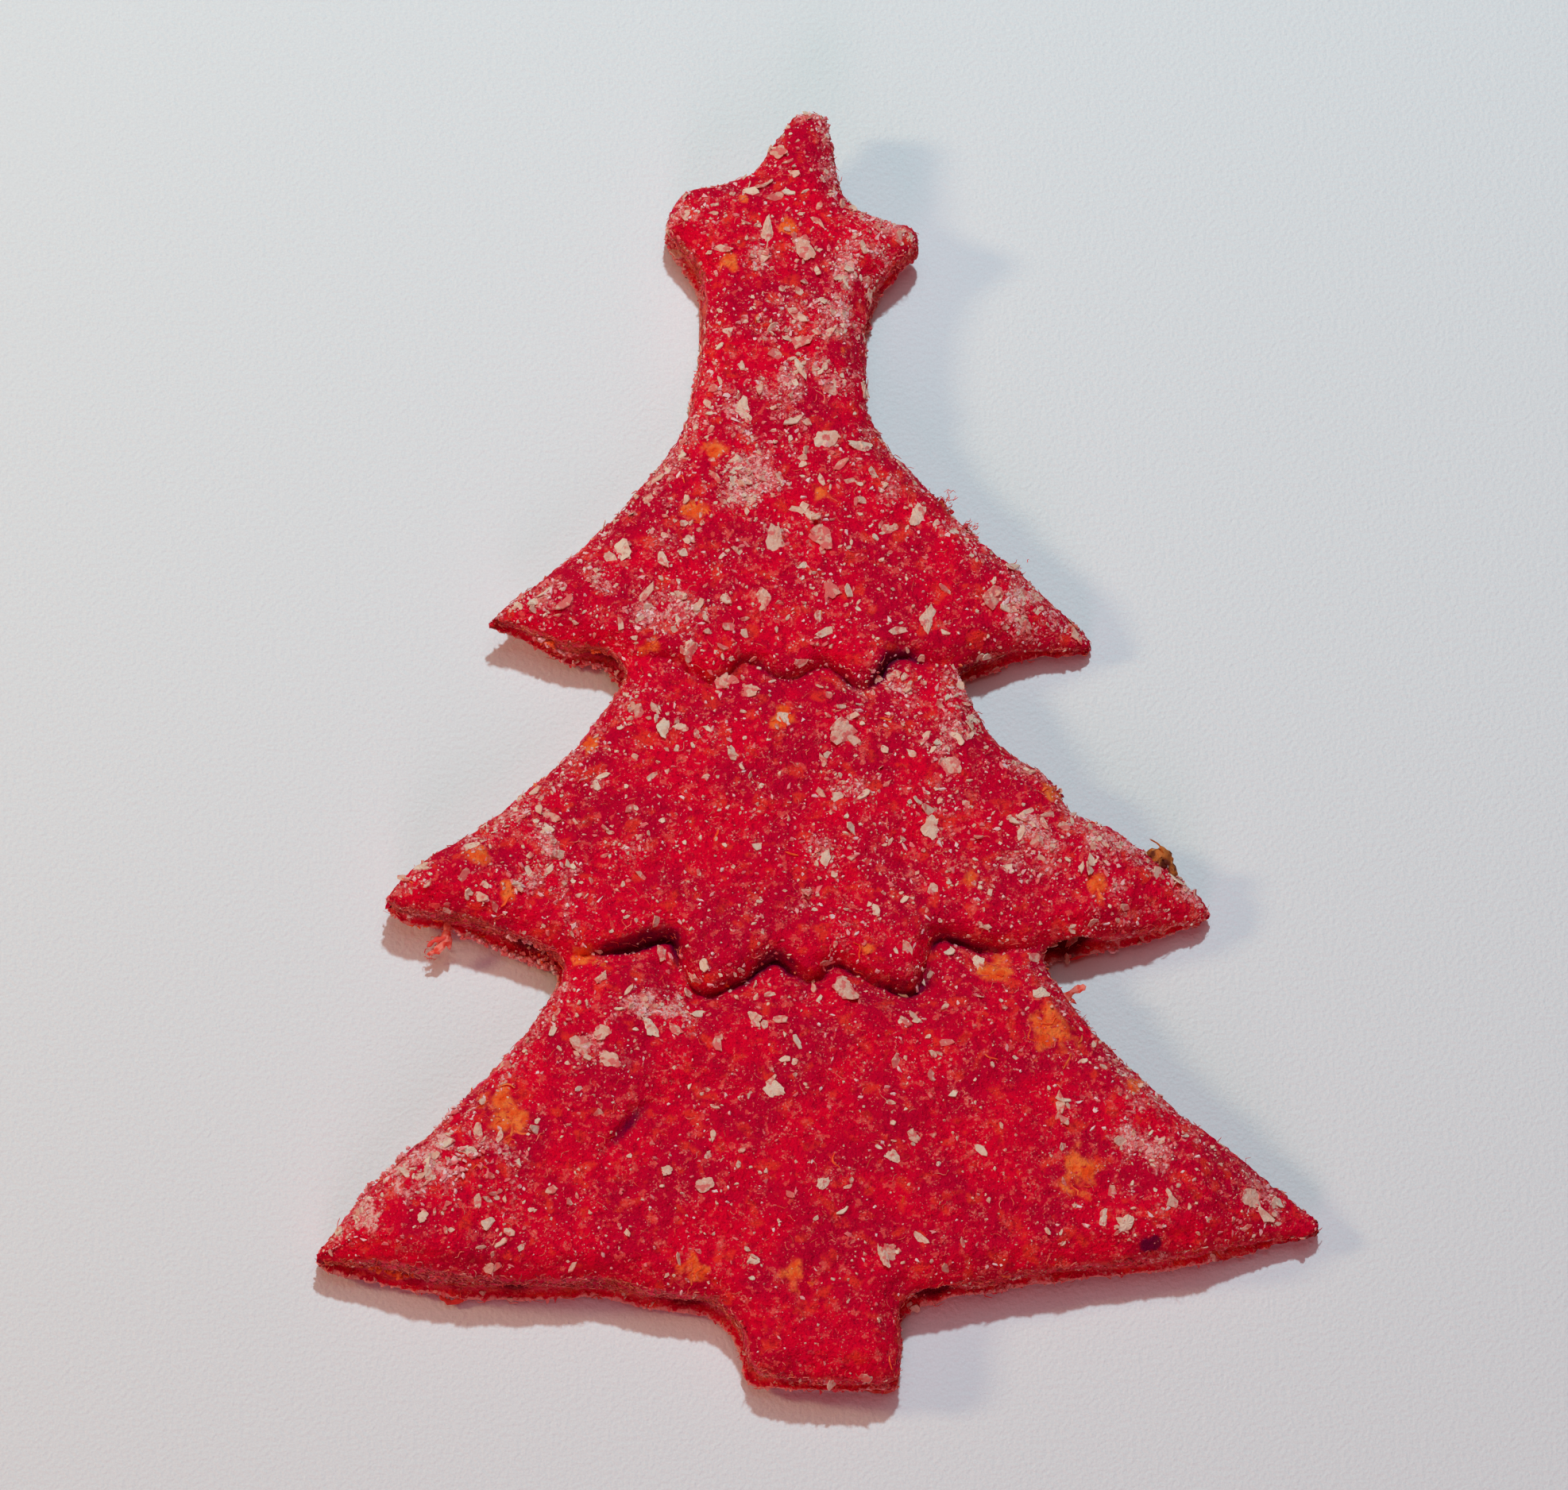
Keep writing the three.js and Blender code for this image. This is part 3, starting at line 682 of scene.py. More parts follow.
# %% The numbers on the dough
dough = add_object("dough", points, triangles)
# paler along the top's edges that face the star's end, laid into the flour number
rim = bump(inside - 0.5, 1.3) * ease(outward[:, 1], -0.3, 0.4)
rim *= np.clip(0.6 + 0.8 * rough(points, 2.4, 111), 0, 1)
neck = ease(points[:, 1], 12, 18)
wall_dust = 0.75 * wall * np.maximum(0.8 * front * (1 - 0.8 * baked_side), neck)
wall_dust *= 0.3 * neck + (1 - 0.3 * neck) * ease(rough(strata, 1.0, 115, 2), -0.2, 0.4)
flour = np.maximum(flour_at(points), 0.7 * rim) * facing_up
flour = np.maximum(flour, wall_dust * (1 - ease(pit, 0.2, 0.5)))
# painted shade just under the rim of the left walls that face the trunk's end
rim_shade_band = 0.38 * wall * front * baked_side * bump(level - 2.1, 1.0)
# the crease number: painted shade in the hems, cracks and under the left rims, and darker patches of dough
dark = np.maximum(np.maximum(hem_shade, rim_shade_band), patchiness(points, DARKER_AND_SHADED_PATCHES) * facing_up)
# painted shade in the crack above the lip, the hollow waist and the holes of the wall
hollow_shade = wall * np.clip(0.75 * split + 0.4 * hollow_band * ease(tear, 0.2, 0.4) + 1.3 * pit, 0, 1)
torn = wall * (0.5 + 0.5 * baked_side) * ease(level, 0.45, 0.8) * (1 - ease(level, 3.3, 4.4))
store(dough, "flour", flour)
store(dough, "carrot", carrot_at(points))
store(dough, "crease", dark)
store(dough, "hollow_shade", hollow_shade)
store(dough, "torn", torn * ease(thickness, 0.3, 0.7))
store(dough, "lip", wall * bump(level - 0.30, 0.20))
print("flour covers", round(float((flour > 0.3).mean()), 3), "of the points")

# %% [markdown]
# ## Writing materials as sums
#
# A material is a small calculation at every point of a surface. Built by hand it is a web of Math
# nodes. Here a thin class wraps a socket, so that adding or multiplying two of them adds the Math
# node, and one method adds any other node with its settings and inputs.

# %% Numbers over a surface
class Number:
    """A number that varies over a surface, as the socket that carries it."""

    def __init__(self, finish, socket):
        self.finish = finish
        self.socket = socket

    def __add__(self, other):
        return self.finish.math("ADD", self, other)

    def __sub__(self, other):
        return self.finish.math("SUBTRACT", self, other)

    def __rsub__(self, other):
        return self.finish.math("SUBTRACT", other, self)

    def __mul__(self, other):
        return self.finish.math("MULTIPLY", self, other)

    __radd__ = __add__
    __rmul__ = __mul__

# %% Finishes
class Finish:
    """A material on a Principled shader, and the ways to add nodes to it."""

    def __init__(self, name, **constants):
        self.material = bpy.data.materials.new(name)
        self.material.use_nodes = True
        self.tree = self.material.node_tree
        self.tree.nodes.clear()
        self.shader = self.tree.nodes.new("ShaderNodeBsdfPrincipled")
        output = self.tree.nodes.new("ShaderNodeOutputMaterial")
        self.tree.links.new(self.shader.outputs[0], output.inputs["Surface"])
        for socket, value in constants.items():
            self.shader.inputs[socket.replace("_", " ")].default_value = value
        self.place = self.node("ShaderNodeTexCoord", {}, {}).outputs["Object"]

    def node(self, kind, settings, inputs):
        """Adds a node, sets its settings, then gives its sockets their values or links."""
        made = self.tree.nodes.new(kind)
        for name, value in settings.items():
            setattr(made, name, value)
        for name, value in inputs.items():
            self.feed(made.inputs[name], value)
        return made

    def feed(self, socket, value):
        """Links a Number or a socket, or sets a plain value."""
        value = getattr(value, "socket", value)
        if isinstance(value, bpy.types.NodeSocket):
            self.tree.links.new(value, socket)
        else:
            socket.default_value = value

    def math(self, operation, a, b=0.0):
        """A Math node on two numbers."""
        made = self.node("ShaderNodeMath", {"operation": operation}, {0: a, 1: b})
        return Number(self, made.outputs[0])

    def noise(self, scale, detail=2.0, stretch=(1, 1, 1)):
        """Blender's noise texture, about 0.5 on average, with scale in lengths of a metre."""
        turned = self.node("ShaderNodeMapping", {}, {"Vector": self.place, "Scale": stretch})
        made = self.node("ShaderNodeTexNoise", {"noise_dimensions": "3D"},
                         {"Vector": turned.outputs[0], "Scale": scale, "Detail": detail})
        return Number(self, made.outputs[0])

    def hairs(self, scale, detail=2.0):
        """Thin wandering lines, 1 on each: they lie where a noise crosses its average."""
        return 1 - self.math("ABSOLUTE", self.noise(scale, detail) - 0.5) * 9

    def attribute(self, name):
        """A number that is stored on the mesh."""
        made = self.node("ShaderNodeAttribute", {"attribute_name": name}, {})
        return Number(self, made.outputs["Fac"])

    def step(self, value, start, end):
        """0 before start, 1 after end, smooth between: a Map Range node."""
        made = self.node("ShaderNodeMapRange", {"interpolation_type": "SMOOTHSTEP"},
                         {"Value": value, "From Min": start, "From Max": end})
        return Number(self, made.outputs[0])

    def mix(self, share, first, second):
        """A colour between two others."""
        made = self.node("ShaderNodeMix", {"data_type": "RGBA"}, {0: share, 6: first, 7: second})
        return made.outputs[2]

    def lay(self, under, over, value, start, end, share=1.0):
        """One colour laid over another wherever a number passes from start to end, up to a share."""
        cover = self.step(value, start, end)
        return self.mix(cover if share == 1.0 else cover * share, under, over)

    def bumped(self, height, distance, strength=1.0):
        """A Bump node's normal, from a height in lengths of the given distance."""
        made = self.node("ShaderNodeBump", {},
                         {"Height": height, "Distance": distance, "Strength": strength})
        return made.outputs[0]

    def set(self, **links):
        """Feeds sockets of the shader, whose names are written with underscores for spaces."""
        for socket, value in links.items():
            self.feed(self.shader.inputs[socket.replace("_", " ")], value)
        print(self.material.name, "has", len(self.tree.nodes), "nodes")

    def dress(self, target):
        """Gives an object this material."""
        target.data.materials.append(self.material)

# %% Colours
def shade(red, green, blue):
    """A colour given as it shows on a screen, 0 to 255, as the linear values shaders use."""
    screen = np.array([red, green, blue]) / 255
    linear = np.where(screen <= 0.04045, screen / 12.92, ((screen + 0.055) / 1.055) ** 2.4)
    return (*linear.tolist(), 1.0)


print("crimson is", [round(part, 3) for part in shade(205, 6, 28)])

# %% [markdown]
# ## The dough's finish
#
# Beetroot stains the dough crimson, darker in patches and browner where it was torn and baked,
# and painted shade darkens its creases, cracks and hollows. Fine pale hairs of bran and beet fibre
# run all through it. Flour is not a coat of paint: it sits in grains, so its mask is the flour number
# plus fine noise, cut off sharply.

# %% Crimson, and its speckles
dough_look = Finish("beet_dough", Roughness=0.6, Specular_IOR_Level=0.03)
look = dough_look
blotch = look.noise(240, 4)
grain = look.noise(2000, 4)
fine = look.noise(5200, 3)
pores = look.noise(6000, 1)
powder = look.attribute("flour")
clustered = look.noise(1100, 3) + powder * 0.12 - 0.5  # where light speckles gather
red = look.lay(shade(202, 0, 46), shade(234, 0, 44), blotch, 0.38, 0.62)
red = look.lay(red, shade(246, 58, 38), look.noise(800, 4), 0.54, 0.68, 0.7)
red = look.lay(red, shade(170, 0, 38), grain, 0.46, 0.36, 0.5)
red = look.lay(red, shade(244, 84, 78), grain + clustered * 0.4, 0.60, 0.67, 0.65)
hairs = look.step(look.hairs(1700, 3), 0.60, 0.95)
red = look.lay(red, shade(242, 124, 112), clustered, 0.04, 0.16, hairs * 0.22)
red = look.lay(red, shade(244, 130, 116), pores + clustered * 0.5, 0.66, 0.74, 0.65)
# dark specks: painted shade of tiny pits between the grains
red = look.lay(red, shade(120, 0, 34), pores, 0.36, 0.28, 0.5)
print("nodes so far:", len(look.tree.nodes))

# %% The torn wall, the lip, carrot and painted shade
layers = look.noise(430, 4, (1, 1, 2.6))
bread = look.lay(shade(216, 16, 72), shade(250, 78, 108), layers, 0.38, 0.50)
bread = look.lay(bread, shade(226, 104, 66), layers, 0.54, 0.62, 0.7)
bread = look.lay(bread, shade(248, 160, 146), look.noise(2300, 2, (1, 1, 2)), 0.56, 0.68, 0.7)
red = look.lay(red, bread, look.attribute("torn") + (blotch - 0.5) * 0.8, 0.25, 0.85, 0.85)
ragged = (look.noise(1600, 2) - 0.5) * 0.9
red = look.lay(red, shade(252, 158, 148), look.attribute("lip") + ragged, 0.45, 0.70, 0.9)
orange = look.lay(shade(252, 82, 30), shade(255, 126, 60), look.noise(1500, 3), 0.35, 0.65)
fibrous = look.step(look.noise(2600, 3), 0.26, 0.44)
red = look.lay(red, orange, look.attribute("carrot") + (grain - 0.5) * 0.7, 0.2, 0.7, fibrous * 0.95)
# painted shade in the hems, cracks and under the left rims, and darker patches of dough
red = look.lay(red, shade(86, 0, 50), look.attribute("crease") + (grain - 0.5) * 0.8, 0.25, 0.95, 0.85)
# painted shade in the wall's crack, hollow waist and holes
red = look.lay(red, shade(80, 0, 28), look.attribute("hollow_shade"), 0.45, 0.85, 0.85)
print("nodes so far:", len(look.tree.nodes))

# %% Flour on the dough, and its relief
frost = look.noise(3400, 4) + powder * 0.42 + (look.noise(900, 3) - 0.5) * 0.5
film = look.step(frost, 0.66, 0.78) * look.step(powder, 0.06, 0.3)
dust = look.step(frost + (fine - 0.5) * 0.3, 0.80, 0.92) * look.step(powder, 0.1, 0.4)
floury = look.mix(film * 0.45, red, shade(240, 112, 116))
floury = look.mix(dust * 0.75, floury, shade(244, 190, 180))
relief = grain * 0.5 + fine * 0.5 + film * 0.12
look.set(Base_Color=floury, Normal=look.bumped(relief, 0.00038))
look.dress(dough)
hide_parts(NODE)
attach(dough, BODY)

# %% [markdown]
# ## Things stuck to the dough
#
# Bran, flour and shreds lie on the dough by the thousand. Instancing would be one way, but every
# piece should be plain mesh, so each kind is made as one array of points: a random triangle of the
# dough is picked for each bit, more often where it is large or where that kind gathers, then a
# random place in it.

# %% Random places on the dough
first, second, third = (points[triangles[:, k]] for k in range(3))
triangle_area = np.linalg.norm(np.cross(second - first, third - first), axis=1) / 2
skin_normals = normals_of(points, triangles)


def spots(count, density, rng):
    """Places and normals on the dough. The chance of a triangle is its area times the density at its
    corners; a place is a mix of its corners, by two random numbers folded into a triangle."""
    chance = np.cumsum(triangle_area * density[triangles].mean(axis=1))
    picked = np.searchsorted(chance, rng.random(count) * chance[-1])
    u, v = rng.random((2, count, 1))
    folded = u + v > 1
    u, v = np.where(folded, 1 - u, u), np.where(folded, 1 - v, v)
    a, b, c = (triangles[picked, k] for k in range(3))
    place = points[a] * (1 - u - v) + points[b] * u + points[c] * v
    normal = skin_normals[a] * (1 - u - v) + skin_normals[b] * u + skin_normals[c] * v
    return place, unit(normal)


print("dough area in square mm:", round(float(triangle_area.sum())))

# %% [markdown]
# ## Chips, crumbs and grains
#
# Each is a small closed body. One modelled flake, copied thousands of times, would show the same
# outline everywhere. So a body is rings of points between two poles, worked out for all bodies of a
# kind at once, and each gets a ragged outline of its own.

# %% Small closed bodies
# ring radius and height from the bottom up, in shares of the body's own size
CHIP = [(1.0, -0.5), (0.94, 0.5)]
GRAIN = [(1.0, 0.0)]
FLAKE = [(0.97, -0.5), (1.0, 0.1), (0.6, 0.45)]
CUTS = 6  # straight cuts round a body's outline


def ring_faces(count, rings, sides):
    """Triangles of many closed bodies that follow each other. Each has two poles, its points 0 and
    1, and then rings of points: a fan round each pole, and two triangles for every step round the
    wall between two rings."""
    here = np.arange(sides)
    there = (here + 1) % sides
    faces = [np.column_stack([0 * here, 2 + there, 2 + here])]
    for ring in range(rings - 1):
        a, b = 2 + ring * sides + here, 2 + ring * sides + there
        faces += [np.column_stack([a, b, b + sides]), np.column_stack([a, b + sides, a + sides])]
    last = 2 + (rings - 1) * sides
    faces.append(np.column_stack([0 * here + 1, last + here, last + there]))
    every = np.vstack(faces) + ((2 + rings * sides) * np.arange(count))[:, None, None]
    return every.reshape(-1, 3)


def shells(places, axes, lengths, widths, heights, profile, sides, uneven, tilt, rng, curl=0.0):
    """Small closed bodies, all at once. Rings of points run round an axis between two poles: a
    ring's radius and height come from the profile, in shares of the body's own size. Each body has
    its own outline, shared by its rings: the nearest of six straight cuts in that direction, then a
    random part. The axis is tilted at random, and a curl lifts the two ends by the square of how
    far out they are. Returns points and triangles."""
    count, rings = len(places), len(profile)
    up = unit(axes + tilt * rng.normal(size=(count, 3)))
    along = unit(np.cross(up, rng.normal(size=(count, 3))))
    across = np.cross(up, along)
    angles = 2 * np.pi * (np.arange(sides) + 0.35 * rng.uniform(-1, 1, (count, sides))) / sides
    cuts = 2 * np.pi * (np.arange(CUTS) + 0.8 * rng.uniform(-1, 1, (count, CUTS))) / CUTS
    facing_cut = np.cos(angles[:, :, None] - cuts[:, None])
    outline = (rng.uniform(0.55, 1.0, (count, 1, CUTS)) / np.maximum(facing_cut, 0.2)).min(axis=2)
    reach = np.minimum(outline, 1.25) * (1 + uneven * rng.uniform(-1, 1, (count, sides)))
    radius, rise = np.array(profile).T
    outline = np.stack([np.cos(angles), np.sin(angles)], axis=2) * reach[..., None]
    flat = radius[:, None, None] * outline[:, None]
    bent = curl * (flat[..., 0] ** 2)
    x = flat[..., 0] * (lengths / 2)[:, None, None]
    y = flat[..., 1] * (widths / 2)[:, None, None]
    wobble = 0.25 * rng.uniform(-1, 1, (count, rings, sides))
    z = (rise[None, :, None] + wobble) * heights[:, None, None] + bent * (lengths / 2)[:, None, None]
    local = np.stack([x, y, z], axis=3).reshape(count, rings * sides, 3)
    poles = np.zeros((count, 2, 3))
    poles[:, 0, 2] = (rise[0] - (0.5 if rings == 1 else 0)) * heights
    poles[:, 1, 2] = (rise[-1] + (0.5 if rings == 1 else 0.1)) * heights
    local = np.concatenate([poles, local], axis=1)
    frame_axes = np.stack([along, across, up], axis=1)
    return (places[:, None] + local @ frame_axes).reshape(-1, 3), ring_faces(count, rings, sides)


print("rings of a chip, a grain and a flake:", len(CHIP), len(GRAIN), len(FLAKE))

# %% One object for each kind
BITS_TOP = 1.03 * high[2]  # nothing that is stuck on reaches higher


def enclosed(batch):
    """The volume inside a batch: a sixth of the sum of each triangle's triple product. It is
    positive only if the triangles face outwards."""
    a, b, c = (batch[0][batch[1][:, k]] for k in range(3))
    return float(np.einsum("ij,ij->i", a, np.cross(b, c)).sum() / 6)


def scatter(name, batches, finish, rng):
    """One object from several batches of points and triangles. Each body gets one random tint, kept
    as an attribute; a body is found by its points, which follow each other in its batch."""
    all_points, all_faces, tints, offset = [], [], [], 0
    for (batch_points, batch_faces), count in batches:
        all_points.append(batch_points)
        all_faces.append(batch_faces + offset)
        tints.append(np.repeat(rng.random(count), len(batch_points) // count))
        offset += len(batch_points)
        assert enclosed((batch_points, batch_faces)) > 0, name
    joined = np.vstack(all_points)
    joined[:, 2] = np.clip(joined[:, 2], 0.0, BITS_TOP)
    made = add_object(name, joined, np.vstack(all_faces), smooth=False)
    store(made, "tint", np.concatenate(tints))
    finish.dress(made)
    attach(made, BODY)
    print(name, "has", sum(len(faces) for faces in all_faces), "triangles")


print("bits end at", round(float(BITS_TOP), 2), "mm")

# %% [markdown]
# ## Bran
#
# Bran is the papery coat of the grain. Its larger flakes, up to two millimetres, are what the eye
# goes to, so their places are listed one by one: a thin plate with a ragged outline, a little
# curled. Between them lie thousands of smaller chips, more of them where flour lies too.

# %% Bran finish
bran_look = Finish("bran", Roughness=0.75, Specular_IOR_Level=0.12)
tint = bran_look.attribute("tint")
husk = bran_look.mix(tint, shade(224, 158, 138), shade(234, 204, 180))
husk = bran_look.lay(husk, shade(220, 150, 128), bran_look.noise(1500, 3), 0.46, 0.62, 0.6)
husk = bran_look.lay(husk, shade(238, 214, 196), bran_look.noise(5200, 2), 0.55, 0.66, 0.4)
beet_stain = bran_look.noise(2100, 4) + (0.5 - tint) * 0.22
husk = bran_look.lay(husk, shade(222, 60, 72), beet_stain, 0.53, 0.62, 0.7)
bran_look.set(Base_Color=husk, Normal=bran_look.bumped(bran_look.noise(4200, 3), 0.00012, 0.7))

# %% Nearest places on the dough
def top_at(places):
    """The dough's top and its normal, averaged, nearest to each named place in the plane."""
    upper = np.flatnonzero(skin_normals[:, 2] > 0.3)
    apart = ((places[:, None, :2] - points[None, upper, :2]) ** 2).sum(axis=2)
    nearest = upper[apart.argmin(axis=1)]
    weight = bump(np.sqrt(apart), 0.7)
    normal = unit(weight @ skin_normals[upper])
    return np.column_stack([places[:, :2], points[nearest, 2]]), normal


def nearest_skin(places):
    """The dough's point nearest to each place, and its normal there. A squared distance is the two
    squared lengths less twice the product, so that one matrix product finds them all."""
    score = (points ** 2).sum(axis=1) - 2 * places @ points.T
    nearest = score.argmin(axis=1)
    return points[nearest], skin_normals[nearest]


print("the top's height in the middle:", top_at(np.zeros((1, 2)))[0][0, 2].round(2))

# %% Large flakes
LARGE_FLAKES = np.array([  # x, y, length, width
    (-0.5, 41.5, 1.3, 1.1), (-1.5, 35.5, 1.9, 0.8), (1, 34.5, 1.9, 1.2), (-4.5, 34.5, 1.0, 0.6),
    (0.5, 27.5, 2.1, 0.8), (0.5, 25.5, 1.2, 0.6), (-3.5, 22.5, 1.9, 1.1), (2, 20.5, 1.5, 1.2),
    (4.5, 20, 1.5, 0.7), (-9.5, 18, 1.3, 0.6), (-10, 16.5, 1.0, 0.5), (1.5, 13.5, 2.0, 1.5),
    (-1.5, 13, 2.1, 1.1), (-12, 12.5, 1.3, 1.1), (2, 9.5, 1.2, 1.1), (-2.5, 9, 1.6, 1.0),
    (8.5, 7.5, 2.1, 1.1), (13, 9, 1.6, 1.2), (15, 7.5, 1.1, 0.6), (8, 15, 1.1, 1.0),
    (6, 14, 1.1, 0.8), (5, 3.5, 1.4, 0.7), (-5.2, 3.2, 1.5, 1.2), (-3.8, 2.6, 1.7, 1.2),
    (-7.5, 5.5, 1.1, 0.7), (-9.5, 0, 1.2, 1.1), (-8.3, 0, 1.0, 0.6), (2.5, -0.5, 1.9, 1.5),
    (9.5, -3, 1.5, 1.3), (-1.5, 0.5, 1.1, 1.0), (8, -7.5, 1.6, 1.2), (1, -9.5, 1.2, 0.6),
    (15.5, -14.5, 2.2, 0.9), (-15.4, -22.4, 1.7, 1.2), (-14.0, -21.3, 1.3, 1.0), (-13.7, -23.3, 1.4, 1.0),
    (-10.9, -21.0, 1.6, 0.9), (-9.2, -21.2, 0.9, 0.6), (-14.0, -17.5, 1.1, 0.5), (-9.9, -15.7, 1.3, 0.6),
    (-2.9, -25.5, 1.1, 0.9), (0.1, -32.0, 1.0, 0.8), (-10.0, -31.0, 0.9, 0.7), (6.2, -29.0, 1.0, 0.6),
    (4.8, -30.2, 1.0, 0.8), (-4.6, -37.1, 0.8, 0.6), (4.4, -36.6, 1.1, 0.8), (-26.1, -34.0, 0.7, 0.6),
    (-21.8, -34.5, 1.0, 0.7), (-22.4, -28.3, 1.3, 0.9), (-23.0, -29.6, 1.0, 0.7),
    (-4, -20.5, 1.1, 0.5), (2, -18.5, 1.8, 1.3), (11, -16.5, 1.2, 1.0), (15, -19, 1.3, 0.9),
    (-7.5, -32, 1.2, 1.0), (20, -35, 1.2, 0.9), (28.5, -33, 1.5, 1.2), (4, -37, 1.4, 0.6),
    (18.5, -34.5, 1.0, 0.6),
])
SATELLITES = 70  # small flakes that broke off beside the large ones
rng = np.random.default_rng(7)
place, axis = top_at(LARGE_FLAKES)
length, width = 1.2 * LARGE_FLAKES[:, 2], 1.2 * LARGE_FLAKES[:, 3]
place = place + axis * 0.05
height = 0.09 + 0.04 * rng.random(len(place))
large = shells(place, axis, length, width, height, FLAKE, 22, 0.13, 0.10, rng, curl=0.05)
near = place[rng.integers(0, len(place), SATELLITES)] + rng.normal(size=(SATELLITES, 3)) * [1.1, 1.1, 0]
near, near_axis = nearest_skin(near)
satellites = shells(near + near_axis * 0.05, near_axis, rng.uniform(0.3, 0.8, SATELLITES),
                    rng.uniform(0.2, 0.5, SATELLITES), np.full(SATELLITES, 0.10), CHIP, 8, 0.15, 0.25, rng)
scatter("bran_flakes", [(large, len(place)), (satellites, SATELLITES)], bran_look, rng)

# %% Chips
SMALL_CHIPS = 1050
TINY_CHIPS = 3400
clear = 1 - 0.85 * ease(hem_shade, 0.45, 0.9)  # few bits lie in the creases
clear *= 0.55 + 0.45 * ease(points[:, 1], -22, -6)  # and fewer on the lowest tier and the trunk
clear = clear * (0.4 + 0.6 * ease(points[:, 1], -42, -36))
place, axis = spots(SMALL_CHIPS, (0.12 + 1.7 * flour) * facing_up * clear + 0.10 * wall, rng)
size = 0.36 + 0.75 * rng.random(SMALL_CHIPS) ** 2.4
small = shells(place + axis * 0.02, axis, size * rng.uniform(1.0, 1.8, SMALL_CHIPS), size * 0.8,
               rng.uniform(0.05, 0.09, SMALL_CHIPS), CHIP, 8, 0.16, 0.3, rng, curl=0.12)
place, axis = spots(TINY_CHIPS, (0.12 + 1.5 * flour) * facing_up * clear + 0.12 * wall, rng)
size = 0.12 + 0.22 * rng.random(TINY_CHIPS) ** 1.5
tiny = shells(place - axis * 0.01, axis, size * rng.uniform(1.0, 1.6, TINY_CHIPS), size,
              rng.uniform(0.06, 0.12, TINY_CHIPS), CHIP, 5, 0.2, 0.4, rng)
scatter("bran_chips", [(small, SMALL_CHIPS), (tiny, TINY_CHIPS)], bran_look, rng)

# %% [markdown]
# ## Flour
#
# Flour shows as a dusting of grains about a tenth of a millimetre across, thick in the patches and
# thin between them. Each grain is an eight-sided body, half sunk, so thousands of them stay cheap.
# Flatter specks and a few named clumps, where flour caked along an edge, make the patches uneven.
# Beet juice has tinted most of them pink, and the palest grains also stand for tiny glints:
# painted highlights.

# %% Flour finish
flour_look = Finish("flour", Roughness=0.85, Specular_IOR_Level=0.1)
meal = flour_look.lay(shade(234, 104, 108), shade(246, 216, 214), flour_look.attribute("tint"), 0.3, 1.0)
meal = flour_look.mix(flour_look.noise(2500, 2) * 0.4, meal, shade(238, 150, 146))
flour_look.set(Base_Color=meal, Normal=flour_look.bumped(flour_look.noise(9000, 1), 0.00004, 0.5))

# %% Flour grains
# flour grains; the palest of them are also painted highlights that stand for tiny glints
GRAINS = 9000
SPECKS = 4500
dusty = (0.05 + 2.0 * flour ** 1.2) * facing_up * clear
place, axis = spots(GRAINS, dusty + 0.05 * wall, rng)
size = 0.075 + 0.13 * rng.random(GRAINS) ** 2.5
grains = shells(place + axis * 0.01, axis, size * 1.2, size, size * 1.1, GRAIN, 4, 0.2, 0.5, rng)
scatter("flour_and_glint_grains", [(grains, GRAINS)], flour_look, rng)

# %% Clumps
def clumps(rows, sizes, rng):
    """Small bodies crowded along short lines. Each lies a random share of the way from one end of
    its line to the other, with a normal scatter round it. It is then pulled to the nearest point of
    the dough, so that none hangs in the air. Returns a batch and its number."""
    ends, spread = np.array([row[:6] for row in rows], float), np.array([row[6] for row in rows])
    line = np.repeat(np.arange(len(rows)), [row[7] for row in rows])
    share = rng.random((len(line), 1))
    place = ends[line, :3] * (1 - share) + ends[line, 3:] * share
    place += rng.normal(size=place.shape) * spread[line, None] * [1, 1, 0.6]
    nearest, axes = nearest_skin(place)
    place = nearest + axes * rng.uniform(-0.02, 0.22, (len(line), 1))
    size = rng.uniform(*sizes, len(line))
    return shells(place, axes, size * 1.4, size, size * 0.4, CHIP, 5, 0.3, 0.7, rng), len(line)


trial, number = clumps([(0, 0, 5, 3, 0, 5, 0.2, 12)], (0.1, 0.2), np.random.default_rng(2))
print("a clump of", number, "bodies has", len(trial[1]), "triangles")

